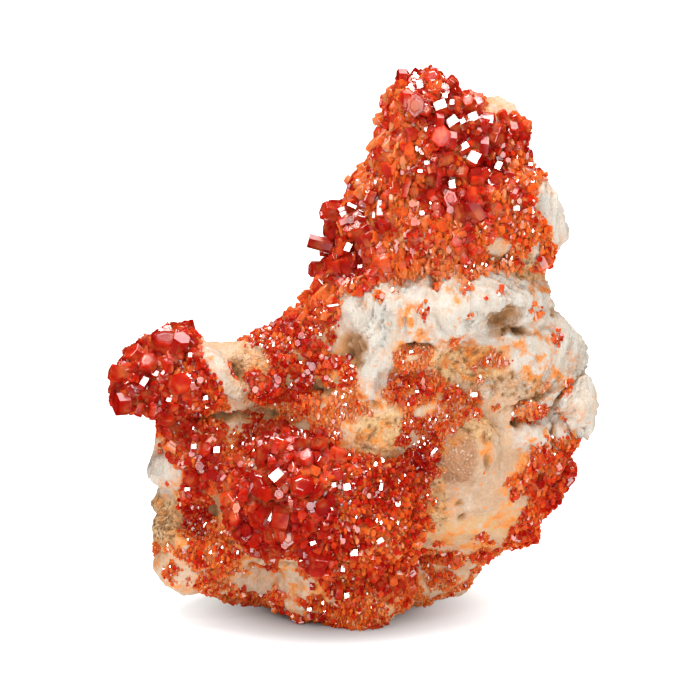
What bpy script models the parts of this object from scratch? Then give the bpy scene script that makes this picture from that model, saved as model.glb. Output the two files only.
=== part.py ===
"""Vanadinite crystals on a baryte matrix: a hand specimen that stands on its own broken foot.

The matrix is one lumpy stone, a leaning peak over a broad body with an arm on its left side. Crusts of red
hexagonal crystals grow on it in patches. X runs to the right across the face that bears the crystals, Y runs
away from it and Z is up. Sizes below are in millimetres and become metres where they are used.
"""

import math
import random

import bmesh
import bpy
from mathutils import Matrix, Quaternion, Vector, noise

MM = 0.001

# Driving dimensions
BLEND_VOXEL = 1.1  # cell size that melts the lumps of the stone together
STONE_TRIANGLES = 1850
CRUST_TRIANGLES = 1050  # of the whole coat that the crusts are cut out of
CRUST_THICKNESS = 2.2
SEAT_GAP = 0.35  # between a crust and the stone it grows on
FLOOR_GAP = 0.5  # lowest that a crust reaches above the surface the stone stands on
LEDGE_PITCH = 6.5  # spacing of the broken baryte ledges
LEDGE_DEPTH = 1.1
LUMP_SIZE = 11.0
LUMP_DEPTH = 1.5
KNOB_SIZE = 4.2
KNOB_DEPTH = 0.7
VIEW_DROP = 14.0

# The stone's lumps: centre, half-sizes and tilt about Y in degrees
LUMPS = {
    "toe": ((-1.5, 8.0, 6.5), (11.0, 8.5, 9.0), 0),
    "heel_left": ((-12.0, 21.0, 7.0), (11.0, 12.0, 9.5), 0),
    "heel_right": ((9.0, 23.0, 8.0), (11.0, 12.0, 10.0), 0),
    "low_left": ((-19.0, 14.0, 9.0), (9.5, 10.0, 6.2), 8),
    "heel_middle": ((-1.0, 24.0, 9.0), (14.0, 11.0, 11.5), 0),
    "back_body": ((0.0, 25.0, 26.0), (22.0, 11.0, 19.0), 14),
    "belly": ((-5.0, 9.0, 20.0), (19.0, 14.5, 13.0), 8),
    "left_block": ((-18.5, 12.5, 19.0), (12.5, 12.5, 12.0), 10),
    "left_corner": ((-24.6, 8.5, 13.2), (7.4, 8.5, 6.8), 0),
    "left_wall": ((-23.5, 11.0, 27.0), (8.5, 10.5, 8.5), 0),
    "right_flank": ((18.5, 16.5, 23.0), (15.5, 15.5, 14.0), -32),
    "right_corner": ((25.4, 14.0, 17.2), (6.6, 8.5, 6.0), -30),
    "right_wall": ((24.5, 19.0, 37.0), (13.0, 15.0, 15.5), 0),
    "right_edge": ((28.6, 16.0, 26.0), (6.0, 10.0, 9.0), 0),
    "heart": ((5.0, 15.5, 37.0), (22.0, 15.5, 15.0), 0),
    "brow": ((12.5, 12.5, 52.5), (17.5, 15.0, 6.2), -4),
    "brow_right": ((23.6, 17.0, 50.0), (10.0, 12.0, 9.0), 10),
    "saddle": ((-9.0, 13.0, 43.0), (11.0, 10.0, 7.0), -30),
    "arm": ((-22.0, 8.5, 40.2), (12.0, 8.0, 7.2), 10),
    "arm_end": ((-30.2, 6.0, 39.7), (5.0, 6.0, 5.2), 0),
    "shoulder": ((12.8, 16.5, 62.0), (14.8, 12.5, 13.0), -22),
    "shoulder_right": ((25.2, 18.5, 64.0), (9.4, 11.0, 12.5), 0),
    "peak": ((12.4, 17.0, 74.9), (8.6, 9.5, 11.6), -4),
    "peak_right": ((20.6, 19.0, 74.6), (7.8, 8.5, 10.2), 28),
}

# Small forms on the face: the sandy nodule, the baryte blades, the curtain under the brow and the pale slab
GROWTHS = {
    "nodule": ((18.6, 2.0, 30.0), (5.0, 4.8, 5.2), 0),
    "curtain": ((3.4, 1.5, 44.5), (3.0, 4.6, 7.6), -6),
    "curtain_edge": ((9.5, 0.6, 47.5), (6.0, 4.0, 4.2), 0),
    "arm_slab": ((-20.4, 2.2, 42.0), (1.7, 3.4, 6.2), -32),
    "little_blade": ((21.8, 1.6, 38.4), (1.5, 3.2, 2.2), -10),
    "side_blade": ((36.0, 13.0, 33.5), (3.6, 6.0, 3.8), 20),
    "front_toe": ((1.5, 2.6, 2.6), (4.6, 3.6, 3.4), 0),
}

# Planes along which the back broke off its bed: a point and the way the broken face looks
BREAKS = {
    "back": ((0.0, 32.0, 15.0), (-0.05, 0.985, 0.17)),
    "back_left": ((-21.0, 24.0, 25.0), (-0.55, 0.83, 0.05)),
    "back_right": ((27.0, 28.0, 40.0), (0.66, 0.73, 0.16)),
    "under_left": ((-21.0, 23.0, 5.5), (-0.35, 0.35, -0.87)),
}

# Hollows broken or weathered into the stone
HOLLOWS = {
    "brow_hollow": ((25.0, 1.4, 51.0), (3.8, 4.6, 1.9), -22),
    "brow_slot": ((13.6, -2.0, 58.3), (1.5, 4.0, 3.0), 0),
    "under_brow": ((12.0, -1.0, 42.0), (9.0, 3.6, 2.6), -4),
    "under_curtain": ((-3.2, 0.2, 46.4), (3.6, 5.0, 3.4), 18),
    "curtain_pit": ((-5.0, 0.2, 39.6), (2.4, 3.6, 1.9), 0),
    "side_hollow": ((33.2, 7.0, 34.0), (2.8, 5.5, 1.9), 14),
    "arm_pit": ((-15.8, 0.6, 42.0), (2.8, 2.8, 2.8), 0),
    "arm_fissure": ((-17.0, -1.0, 34.4), (13.0, 4.8, 1.2), 3),
    "left_cavity": ((-24.8, 0.0, 18.4), (3.4, 3.8, 3.2), 30),
    "lower_fissure": ((-11.5, -6.4, 12.8), (6.0, 3.4, 0.9), 14),
    "back_hollow": ((8.0, 34.0, 40.0), (8.0, 5.0, 6.0), 15),
    "back_ledge": ((-12.0, 30.0, 26.0), (12.0, 6.0, 3.0), -12),
}

# Each crust: the forms that bound its patch, how many crystals it carries and their radii
CRUSTS = {
    "peak_crystals": {
        "patch": {
            "face": ((8.5, 2.0, 70.0), (17.5, 16.0, 15.0), -24),
            "tip": ((12.0, 12.0, 82.0), (9.5, 12.0, 11.0), 0),
            "skirt": ((7.0, 1.0, 60.5), (16.0, 12.0, 4.4), -3),
            "left_edge": ((-0.2, 14.0, 63.2), (8.6, 12.0, 11.0), 26),
        },
        "count": 36,
        "radius": (1.1, 2.3),
        "seed": 11,
    },
    "knob_crystals": {
        "patch": {"cap": ((-32.8, 5.0, 41.2), (9.6, 13.0, 9.6), 0)},
        "count": 12,
        "radius": (1.2, 2.2),
        "seed": 5,
    },
    "belly_crystals": {
        "patch": {
            "middle": ((-8.0, -3.0, 24.3), (14.5, 13.0, 8.3), 0),
            "left": ((-24.5, 0.0, 26.0), (7.5, 13.0, 5.8), 0),
            "low": ((3.0, -3.0, 13.5), (10.5, 14.0, 8.0), -10),
            "low_left": ((-23.0, 1.0, 11.5), (8.5, 13.0, 3.6), 0),
            "link_left": ((-13.5, -3.0, 17.0), (4.0, 10.0, 5.5), 50),
            "link_right": ((10.5, -1.0, 26.5), (4.2, 9.0, 8.0), 8),
            "heart": ((13.5, -1.0, 38.2), (8.8, 9.0, 4.6), -8),
            "low_right": ((18.0, 3.0, 9.6), (12.5, 15.0, 4.6), -30),
            "rim": ((31.0, 9.0, 20.0), (5.0, 15.0, 8.6), 22),
        },
        "count": 38,
        "radius": (0.9, 1.9),
        "seed": 23,
    },
    "saddle_crystals": {
        "patch": {
            "ridge": ((-11.4, 4.0, 44.6), (7.6, 13.0, 6.0), -36),
            "slope": ((-7.5, 4.0, 40.4), (6.5, 12.0, 4.2), 0),
        },
        "count": 9,
        "radius": (0.9, 1.6),
        "seed": 42,
    },
    "spur_crystals": {
        "patch": {"spot": ((32.8, 12.0, 61.2), (2.8, 7.0, 4.4), 14)},
        "count": 4,
        "radius": (0.9, 1.2),
        "seed": 43,
    },
}
PATCH_RAGGED = 2.6  # how far the outline of a patch wanders

# The large crystals, each where a line that drops 14 degrees from the viewer's side meets the coat: the line's
# X and its height at Y = 0, then the crystal's radius, how far it stands out, and its axis
LARGE_CRYSTALS = {
    "peak_crystals": [
        (8.8, 88.6, 1.7, 1.7, (-0.5, -0.3, 0.8)),
        (13.3, 89.2, 1.8, 1.0, (-0.1, -0.5, 0.85)),
        (16.2, 88.0, 1.3, 1.4, (0.5, -0.3, 0.8)),
        (10.6, 86.2, 2.6, 1.6, (-0.15, -0.95, 0.1)),
        (10.0, 80.8, 2.1, 1.8, (-0.35, -0.75, 0.55)),
        (14.4, 79.8, 2.2, 1.7, (0.15, -0.9, 0.3)),
        (20.0, 82.6, 2.0, 1.8, (0.35, -0.65, 0.65)),
        (21.6, 79.0, 2.3, 1.8, (0.1, -0.35, 0.9)),
        (24.8, 74.0, 2.3, 1.7, (0.3, -0.9, 0.15)),
        (19.0, 75.0, 2.0, 1.7, (-0.1, -0.85, 0.45)),
        (13.0, 72.0, 2.5, 1.8, (0.0, -0.4, 0.9)),
        (20.8, 72.2, 2.3, 1.6, (0.1, -0.4, 0.9)),
        (4.4, 80.4, 1.6, 2.2, (-0.85, -0.4, 0.3)),
        (0.6, 71.4, 2.0, 2.8, (-0.85, -0.3, 0.35)),
        (-1.6, 67.4, 2.0, 2.8, (-0.85, -0.3, 0.3)),
        (-2.8, 63.4, 2.0, 4.2, (-0.95, -0.3, 0.05)),
        (-1.2, 60.6, 1.8, 2.2, (-0.5, -0.8, 0.2)),
        (-4.6, 58.6, 1.7, 1.8, (-0.85, -0.4, 0.1)),
        (-4.4, 55.8, 1.8, 1.5, (-0.7, -0.6, 0.25)),
    ],
    "knob_crystals": [
        (-35.2, 37.8, 2.9, 1.6, (-0.35, -0.93, -0.05)),
        (-30.0, 46.0, 3.0, 1.6, (0.05, -0.35, 0.93)),
        (-35.2, 44.6, 1.9, 2.2, (-0.6, -0.3, 0.7)),
        (-37.0, 41.4, 1.8, 1.6, (-0.85, -0.4, 0.25)),
        (-32.0, 41.6, 2.3, 2.0, (-0.2, -0.6, 0.75)),
        (-26.8, 45.6, 2.0, 2.2, (0.35, -0.4, 0.85)),
        (-27.6, 39.0, 2.2, 1.8, (0.3, -0.85, 0.3)),
        (-31.0, 35.6, 1.9, 1.8, (-0.1, -0.8, -0.5)),
    ],
    "belly_crystals": [
        (-11.4, 19.8, 2.8, 1.8, (-0.15, -0.95, 0.3)),
        (-12.4, 24.6, 1.8, 2.0, (0.3, -0.7, 0.6)),
        (-8.2, 22.8, 2.4, 1.8, (0.1, -0.8, 0.55)),
        (-6.4, 27.0, 1.6, 1.6, (-0.2, -0.6, 0.8)),
        (-4.6, 10.6, 2.6, 1.8, (0.2, -0.5, 0.85)),
        (-5.4, 7.8, 2.2, 1.6, (0.1, -0.9, -0.1)),
        (-30.2, 29.4, 1.7, 2.0, (-0.7, -0.5, 0.4)),
        (-3.8, 29.6, 1.7, 1.6, (-0.3, -0.7, 0.6)),
        (-22.4, 29.0, 1.6, 1.6, (0.2, -0.7, 0.7)),
        (-25.0, 24.0, 1.5, 1.5, (-0.3, -0.8, 0.4)),
    ],
}

VANADINITE = {"red": (0.62, 0.045, 0.01, 1.0), "roughness": 0.18}
BARYTE = {"white": (0.80, 0.70, 0.60, 1.0), "roughness": 0.6}


def clear_scene():
    for obj in list(bpy.data.objects):
        bpy.data.objects.remove(obj, do_unlink=True)


def new_collection(name, shown=True):
    made = bpy.data.collections.new(name)
    bpy.context.scene.collection.children.link(made)
    made.hide_render = not shown
    return made


def new_material(name, colour, roughness):
    material = bpy.data.materials.new(name)
    material.use_nodes = True
    shader = material.node_tree.nodes["Principled BSDF"]
    shader.inputs["Base Color"].default_value = colour
    shader.inputs["Roughness"].default_value = roughness
    return material


def new_object(name, bm, collection):
    mesh = bpy.data.meshes.new(name)
    bm.to_mesh(mesh)
    bm.free()
    obj = bpy.data.objects.new(name, mesh)
    collection.objects.link(obj)
    return obj


def as_helper(obj):
    obj.hide_render = True
    obj.display_type = "WIRE"
    return obj


def apply_modifiers(obj):
    """Replace the object's mesh by what its modifiers make of it."""
    bpy.context.view_layer.update()
    graph = bpy.context.evaluated_depsgraph_get()
    made = bpy.data.meshes.new_from_object(obj.evaluated_get(graph))
    obj.modifiers.clear()
    obj.data = made
    return obj


def ellipsoids(name, forms, collection, fine=1.0):
    """One closed mesh of ellipsoids melted together by a voxel remesh."""
    bm = bmesh.new()
    for centre, half, tilt in forms.values():
        place = Matrix.Translation(Vector(centre) * MM)
        turn = Matrix.Rotation(math.radians(tilt), 4, "Y")
        size = Matrix.Diagonal((*(side * MM for side in half), 1.0))
        bmesh.ops.create_uvsphere(bm, u_segments=28, v_segments=18, radius=1.0, matrix=place @ turn @ size)
    obj = new_object(name, bm, collection)
    melt(obj, BLEND_VOXEL * fine)
    return obj


def melt(obj, voxel):
    remesh = obj.modifiers.new("melt", "REMESH")
    remesh.mode = "VOXEL"
    remesh.voxel_size = voxel * MM
    return apply_modifiers(obj)


def soften(obj, times):
    smooth = obj.modifiers.new("soften", "SMOOTH")
    smooth.factor = 0.5
    smooth.iterations = times
    return apply_modifiers(obj)


def thin_out(obj, triangles):
    bm = bmesh.new()
    bm.from_mesh(obj.data)
    bmesh.ops.triangulate(bm, faces=bm.faces)
    bm.to_mesh(obj.data)
    bm.free()
    decimate = obj.modifiers.new("thin_out", "DECIMATE")
    decimate.ratio = triangles / len(obj.data.polygons)
    return apply_modifiers(obj)


def boolean(obj, other, operation, solver="EXACT"):
    """Join other to obj, or cut obj with it."""
    modifier = obj.modifiers.new(operation.lower(), "BOOLEAN")
    modifier.operation = operation
    modifier.solver = solver
    modifier.object = other
    return apply_modifiers(obj)


def push_out(obj, distance_at):
    """Move each vertex along its normal by distance_at(position in millimetres, normal), in millimetres."""
    mesh = obj.data
    normals = [vertex.normal.copy() for vertex in mesh.vertices]
    for vertex, normal in zip(mesh.vertices, normals):
        vertex.co += normal * distance_at(vertex.co / MM, normal) * MM
    mesh.update()
    return obj


def copy_of(obj, name, collection):
    made = bpy.data.objects.new(name, obj.data.copy())
    collection.objects.link(made)
    return made


def broken_relief(point, normal):
    """Lumps, finer knobs, and ledges that step along a tilted bedding direction."""
    lumps = noise.noise(point / LUMP_SIZE) * LUMP_DEPTH
    knobs = noise.noise(point / KNOB_SIZE + Vector((7.1, 3.3, 1.9))) * KNOB_DEPTH
    bedding = point.dot(Vector((0.32, -0.20, 0.93)).normalized()) / LEDGE_PITCH
    bedding += 0.55 * noise.noise(point / 15.0)
    step = bedding - math.floor(bedding)
    return lumps + knobs + LEDGE_DEPTH * (step**3 - 0.35)


def make_stone(collection, helpers):
    stone = ellipsoids("matrix", LUMPS | GROWTHS, collection)
    soften(stone, 5)
    boolean(stone, as_helper(ellipsoids("hollows", HOLLOWS, helpers)), "DIFFERENCE")
    for point, outward in BREAKS.values():
        boolean(stone, break_block(Vector(point), Vector(outward).normalized(), helpers), "DIFFERENCE")
    melt(stone, BLEND_VOXEL)
    push_out(stone, broken_relief)
    melt(stone, BLEND_VOXEL)
    return soften(stone, 1)


def break_block(point, outward, helpers):
    """A large block that lies beyond the plane through this point."""
    turn = outward.to_track_quat("Z", "Y").to_matrix().to_4x4()
    bm = bmesh.new()
    place = Matrix.Translation((point + outward * 100.0) * MM) @ turn
    bmesh.ops.create_cube(bm, size=200.0 * MM, matrix=place)
    return as_helper(new_object("break_block", bm, helpers))


def floor_box(height, helpers):
    """A block whose top lies at this height."""
    bm = bmesh.new()
    place = Matrix.Translation((0.0, 0.015, height * MM - 0.1)) @ Matrix.Diagonal((0.3, 0.3, 0.2, 1.0))
    bmesh.ops.create_cube(bm, size=1.0, matrix=place)
    return as_helper(new_object("floor_block", bm, helpers))


def crystal(bm, seat, axis, radius, stands, spin):
    """A stout hexagonal prism that stands out of the coat at its seat and reaches as far down into it."""
    turn = (axis.to_track_quat("Z", "Y") @ Quaternion((0, 0, 1), spin)).to_matrix().to_4x4()
    sunk = 0.45 * CRUST_THICKNESS + 0.3 * radius
    middle = seat + axis.normalized() * 0.5 * (stands - sunk)
    bmesh.ops.create_cone(
        bm,
        cap_ends=True,
        segments=6,
        radius1=radius * MM,
        radius2=radius * MM,
        depth=(stands + sunk) * MM,
        matrix=Matrix.Translation(middle * MM) @ turn,
    )


def seat_of(coat, across, height):
    """Where the viewer's line at this X and height meets the coat, in millimetres, and the normal there."""
    drop = math.radians(VIEW_DROP)
    along = Vector((0.0, math.cos(drop), -math.sin(drop)))
    rise = Vector((0.0, math.sin(drop), math.cos(drop)))
    start = (Vector((across, 0.0, 0.0)) + rise * height - along * 200.0) * MM
    hit, spot, normal, _ = coat.ray_cast(start, along)
    return (spot / MM, normal.copy()) if hit else None


def scatter(coat, inside, taken, form, rng):
    """Seats for crystals on the coat's faces within a patch, the large ones first and none too close."""
    faces = [f for f in coat.data.polygons if inside(f.center / MM)]
    weights = [f.area for f in faces]
    low, high = form["radius"]
    seats = []
    tries = 0
    while len(seats) < form["count"] and tries < 4000:
        tries += 1
        radius = high - (high - low) * math.sqrt(len(seats) / form["count"])
        face = rng.choices(faces, weights)[0]
        corners = [coat.data.vertices[i].co for i in face.vertices]
        shares = [rng.random() + 0.2 for _ in corners]
        spot = sum((c * w for c, w in zip(corners, shares)), Vector()) / sum(shares) / MM
        if all((spot - other).length > 0.78 * (radius + size) for other, size in taken):
            taken.append((spot, radius))
            seats.append((spot, radius, face.normal.copy()))
    return seats


def in_ellipsoids(point, forms, shrink=1.0):
    for centre, half, tilt in forms.values():
        local = Matrix.Rotation(-math.radians(tilt), 3, "Y") @ (point - Vector(centre))
        if sum((local[i] / (half[i] * shrink)) ** 2 for i in range(3)) < 1.0:
            return True
    return False


def keep_largest_body(obj):
    """Drop crumbs that a cut leaves beside the main body."""
    bm = bmesh.new()
    bm.from_mesh(obj.data)
    bmesh.ops.remove_doubles(bm, verts=bm.verts, dist=1e-7)
    bmesh.ops.triangulate(bm, faces=bm.faces)
    todo = set(bm.faces)
    bodies = []
    while todo:
        body = {todo.pop()}
        front = list(body)
        while front:
            face = front.pop()
            for edge in face.edges:
                for other in edge.link_faces:
                    if other in todo:
                        todo.discard(other)
                        body.add(other)
                        front.append(other)
        bodies.append(body)
    bodies.sort(key=len, reverse=True)
    for body in bodies[1:]:
        bmesh.ops.delete(bm, geom=list(body), context="FACES")
    bm.to_mesh(obj.data)
    bm.free()
    return obj


def make_crust(name, form, coat, seat, floor, collection, helpers):
    """A patch of the coat with crystals on it, cut clear of the stone by the seat.

    Dozens of prisms cross each other and the coat here, where the exact solver drops bodies, so each prism is
    joined on its own by the manifold solver.
    """
    rng = random.Random(form["seed"])
    patch = form["patch"]
    zone = as_helper(ellipsoids(name + "_zone", patch, helpers, fine=1.4))
    push_out(zone, lambda point, normal: PATCH_RAGGED * noise.noise(point / 5.5))
    melt(zone, BLEND_VOXEL * 1.4)
    thin_out(zone, len(zone.data.polygons) // 5)
    crust = copy_of(coat, name, collection)
    boolean(crust, zone, "INTERSECT", "MANIFOLD")

    crystals = []
    taken = []
    for across, height, radius, stands, axis in LARGE_CRYSTALS.get(name, []):
        found = seat_of(coat, across, height)
        if found:
            taken.append((found[0], radius))
            crystals.append((found[0], Vector(axis).normalized(), radius, stands))
    for spot, radius, normal in scatter(coat, lambda p: in_ellipsoids(p, patch, 0.93), taken, form, rng):
        lean = Vector((rng.gauss(0, 1), rng.gauss(0, 1), rng.gauss(0, 1))) * 0.55
        crystals.append((spot, (normal + lean).normalized(), radius, radius * rng.uniform(0.7, 1.3)))
    for spot, axis, radius, stands in crystals:
        bm = bmesh.new()
        crystal(bm, spot, axis, radius, stands, rng.uniform(0, math.pi / 3))
        prism = as_helper(new_object(name + "_prism", bm, helpers))
        boolean(crust, prism, "UNION", "MANIFOLD")
        bpy.data.objects.remove(prism)
    boolean(crust, seat, "DIFFERENCE", "MANIFOLD")
    boolean(crust, floor, "DIFFERENCE", "MANIFOLD")
    print(name, len(crystals), "crystals", sum(len(p.vertices) - 2 for p in crust.data.polygons))
    return keep_largest_body(crust)


def stand_on_origin(nodes):
    """Move everything so that the middle of the foot of the bounding box is the origin."""
    points = [v.co for obj in nodes for v in obj.data.vertices]
    low = Vector([min(p[i] for p in points) for i in range(3)])
    high = Vector([max(p[i] for p in points) for i in range(3)])
    shift = Matrix.Translation((-(low.x + high.x) / 2, -(low.y + high.y) / 2, -low.z))
    for obj in nodes:
        obj.data.transform(shift)


def main():
    clear_scene()
    specimen = new_collection("vanadinite_on_matrix")
    helpers = new_collection("cutters", shown=False)

    stone = make_stone(specimen, helpers)
    coat = as_helper(copy_of(stone, "coat", helpers))
    push_out(coat, lambda point, normal: CRUST_THICKNESS + 0.5 * noise.noise(point / 3.0))
    melt(coat, 1.2)
    thin_out(coat, CRUST_TRIANGLES)

    thin_out(stone, STONE_TRIANGLES)
    seat = as_helper(copy_of(stone, "seat", helpers))
    push_out(seat, lambda point, normal: SEAT_GAP)
    boolean(stone, floor_box(0.0, helpers), "DIFFERENCE", "MANIFOLD")
    keep_largest_body(stone)

    floor = floor_box(FLOOR_GAP, helpers)
    nodes = [stone]
    for name, form in CRUSTS.items():
        nodes.append(make_crust(name, form, coat, seat, floor, specimen, helpers))

    baryte = new_material("baryte", BARYTE["white"], BARYTE["roughness"])
    vanadinite = new_material("vanadinite", VANADINITE["red"], VANADINITE["roughness"])
    for obj in nodes:
        obj.data.materials.clear()
        obj.data.materials.append(baryte if obj is stone else vanadinite)
        print(obj.name, len(obj.data.polygons), "triangles")
    stand_on_origin(nodes)


main()
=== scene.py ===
# Vanadinite on baryte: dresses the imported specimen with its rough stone, its crystal crusts and a small studio.

import itertools
import math
import time

import bpy
import numpy as np
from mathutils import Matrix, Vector


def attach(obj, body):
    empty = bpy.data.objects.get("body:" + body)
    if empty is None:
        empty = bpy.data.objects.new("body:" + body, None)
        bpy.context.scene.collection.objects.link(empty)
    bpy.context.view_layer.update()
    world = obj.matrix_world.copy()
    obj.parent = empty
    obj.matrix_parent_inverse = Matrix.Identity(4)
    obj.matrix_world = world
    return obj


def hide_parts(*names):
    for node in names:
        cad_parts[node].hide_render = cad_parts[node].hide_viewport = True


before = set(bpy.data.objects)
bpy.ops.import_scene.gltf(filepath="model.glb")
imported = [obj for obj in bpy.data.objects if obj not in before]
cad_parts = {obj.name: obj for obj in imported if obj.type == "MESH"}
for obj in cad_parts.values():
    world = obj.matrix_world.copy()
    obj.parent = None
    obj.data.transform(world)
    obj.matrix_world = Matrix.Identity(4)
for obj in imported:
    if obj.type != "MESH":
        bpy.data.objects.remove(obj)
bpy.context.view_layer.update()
started = time.time()

mm = 0.001
drop = math.radians(14.0)  # how far the front view looks down
toViewer = np.array([0.0, -math.cos(drop), math.sin(drop)])
aim = np.array([0.4, -12.7, 45.28 / math.cos(drop)])  # in mm, the point at the middle of the front view
far = 1e9  # further than anything


def say(text):
    # a stage's line, after the seconds since the start
    print(f"[{time.time() - started:5.1f} s] {text}")


def unit(rows):
    # each vector divided by its length
    return rows / np.maximum(np.linalg.norm(rows, axis=-1, keepdims=True), 1e-9)


def smoothStep(low, high, value):
    # 0 below low, 1 above high, an S curve between
    t = np.clip((value - low) / (high - low), 0.0, 1.0)
    return t * t * (3.0 - 2.0 * t)


def hashed(cell, seed):
    # the same whole-number cell and seed always give the same number from 0 to 1
    x, y, z = (cell[..., i].astype(np.int64).astype(np.uint32) for i in range(3))
    h = x * np.uint32(374761393) ^ y * np.uint32(668265263) ^ z * np.uint32(2246822519)
    h = h ^ np.uint32((seed * 3266489917 + 97) % 4294967296)
    h = (h ^ (h >> np.uint32(15))) * np.uint32(2246822519)
    h = (h ^ (h >> np.uint32(13))) * np.uint32(3266489917)
    return (h ^ (h >> np.uint32(16))).astype(np.float64) / 4294967296.0


def noise(points, seed=0):
    # values at the corners of unit cells, blended inside each cell by a fifth-power fade, from -1 to 1
    cell = np.floor(points)
    f = points - cell
    w = f * f * f * (f * (f * 6.0 - 15.0) + 10.0)
    total = np.zeros(len(points))
    for corner in itertools.product((0, 1), repeat=3):
        total += np.prod(np.where(corner, w, 1 - w), axis=1) * hashed(cell + corner, seed)
    return total * 2.0 - 1.0


def rough(points, size, octaves, seed=0):
    # noise added to itself at half the size and half the strength, octave by octave
    total = np.zeros(len(points))
    for i in range(octaves):
        total += noise(points / size * 2.0**i + 31.7 * i, seed + i) * 0.5**i
    return total


def grains(points, size, seed=0):
    # distance to the nearest of one random point in each cell, in cells, and that point's own random number
    scaled = points / size
    cell = np.floor(scaled)
    nearest = np.full(len(points), 9.0)
    own = np.zeros(len(points))
    for step in itertools.product((-1, 0, 1), repeat=3):
        other = cell + step
        spot = other + np.stack([hashed(other, seed + n) for n in (11, 12, 13)], axis=1)
        away = np.linalg.norm(scaled - spot, axis=1)
        own = np.where(away < nearest, hashed(other, seed + 14), own)
        nearest = np.minimum(nearest, away)
    return nearest, own


def frontPlace(points):
    # where points in mm show in the front view: X across, and height square to the line of sight
    height = points[:, 2] * math.cos(drop) + (points[:, 1] - aim[1]) * math.sin(drop)
    return points[:, 0] - aim[0], height


def seenAt(points):
    # where points show in the front view, and how near to the viewer they are
    return *frontPlace(points), points @ toViewer


def spotted(across, height, spot, soft=0.25):
    # 1 inside a tilted ellipse of the front view, 0 outside it, over a soft edge; tilt lifts its right end
    centreX, centreY, halfX, halfY = spot[:4]
    tilt = math.radians(spot[5]) if len(spot) > 5 else 0.0
    c, s = math.cos(tilt), math.sin(tilt)
    u = (across - centreX) * c + (height - centreY) * s
    v = (height - centreY) * c - (across - centreX) * s
    return smoothStep(1.0 + soft, 1.0 - soft, np.hypot(u / halfX, v / halfY))


def mostOf(across, height, spots, soft=0.25, speckle=None):
    # the strongest of the spots at each place; with a speckle, a spot's strength is the share of it that is filled
    total = np.zeros(len(across))
    for spot in spots.values():
        here = spotted(across, height, spot, soft)
        if speckle is not None:
            here = here * smoothStep(spot[4] + 0.06, spot[4] - 0.06, speckle)
        total = np.maximum(total, here)
    return total


def piled(total, across, height, spots, soft, weight=1.0):
    # the total with each spot's strength added inside it
    for spot in spots.values():
        total = total + spot[4] * spotted(across, height, spot, soft) * weight
    return total


def quadNormals(points, quads):
    # each vertex takes the sum of its faces' normals, a face's being the cross product of its diagonals
    a, b, c, d = (points[quads[:, i]] for i in range(4))
    face = np.cross(c - a, d - b)
    sums = [np.bincount(quads.ravel(), np.repeat(face[:, i], 4), len(points)) for i in range(3)]
    return unit(np.stack(sums, axis=1))


def averaged(values, quads, times, share=0.5):
    # each vertex moves by share towards the mean of its neighbours along the faces' edges, several times
    turned = np.roll(quads, -1, axis=1)
    ends, others = np.concatenate([quads, turned]).ravel(), np.concatenate([turned, quads]).ravel()
    count = np.maximum(np.bincount(ends, minlength=len(values)), 1)
    flat = values.reshape(len(values), -1).copy()
    for _ in range(times):
        for column in flat.T:
            column += (np.bincount(ends, column[others], len(values)) / count - column) * share
    return flat.reshape(values.shape)


def inView(points, quads, normals, grazing):
    # 1 where the surface faces the front view, 0 past a grazing slope and well behind what shows at that place
    width, behind = 1.2, 9.0  # of the cells the view is cut in, and how far behind the nearest point, in mm
    across, height, near = seenAt(points)
    cell = np.floor(across / width).astype(int) * 1000 + np.floor(height / width).astype(int)
    _, cell = np.unique(cell, return_inverse=True)
    best = np.full(cell.max() + 1, -far)
    np.maximum.at(best, cell, near)
    foremost = (near > best[cell] - behind).astype(float)
    return smoothStep(grazing, 0.15, normals @ toViewer) * averaged(foremost, quads, 4)


def linked(name, data):
    # an object with this data, in the scene
    made = bpy.data.objects.new(name, data)
    bpy.context.scene.collection.objects.link(made)
    return made


def finishedMesh(thing):
    # an object's mesh as its modifiers leave it
    bpy.context.view_layer.update()
    return thing.evaluated_get(bpy.context.evaluated_depsgraph_get()).to_mesh()


def readOut(items, key, width, kind=float):
    # one value of all items as an array with this many numbers to a row
    found = np.zeros(len(items) * width, kind)
    items.foreach_get(key, found)
    return found


def remeshed(node, voxel):
    # a copy of a CAD node, its triangles merged, made into even quads; returns points in mm and quads
    copy = linked("work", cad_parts[node].data.copy())
    copy.modifiers.new("weld", "WELD").merge_threshold = 0.000002
    even = copy.modifiers.new("even", "REMESH")
    even.mode = "VOXEL"
    even.voxel_size = voxel * mm
    shown = finishedMesh(copy)
    points = readOut(shown.vertices, "co", 3).reshape(-1, 3) / mm
    quads = readOut(shown.loops, "vertex_index", 1, np.int32).reshape(-1, 4)
    bpy.data.objects.remove(copy)
    return points, quads


def meshObject(name, points, polygons, smooth, values):
    # points in mm; polygons as a list of index arrays of equal width each; values are numbers at the vertices
    mesh = bpy.data.meshes.new(name)
    widths = np.repeat([p.shape[1] for p in polygons], [len(p) for p in polygons]).astype(np.int32)
    mesh.vertices.add(len(points))
    mesh.vertices.foreach_set("co", (points * mm).astype(np.float32).ravel())
    mesh.loops.add(int(widths.sum()))
    mesh.loops.foreach_set("vertex_index", np.concatenate([p.ravel() for p in polygons]).astype(np.int32))
    mesh.polygons.add(len(widths))
    mesh.polygons.foreach_set("loop_start", (np.cumsum(widths) - widths).astype(np.int32))
    mesh.polygons.foreach_set("loop_total", widths)
    mesh.update(calc_edges=True)
    mesh.polygons.foreach_set("use_smooth", np.repeat(smooth, [len(p) for p in polygons]))
    for key, value in values.items():
        mesh.attributes.new(key, "FLOAT", "POINT").data.foreach_set("value", value.astype(np.float32))
    mesh.validate()
    return linked(name, mesh)


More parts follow.
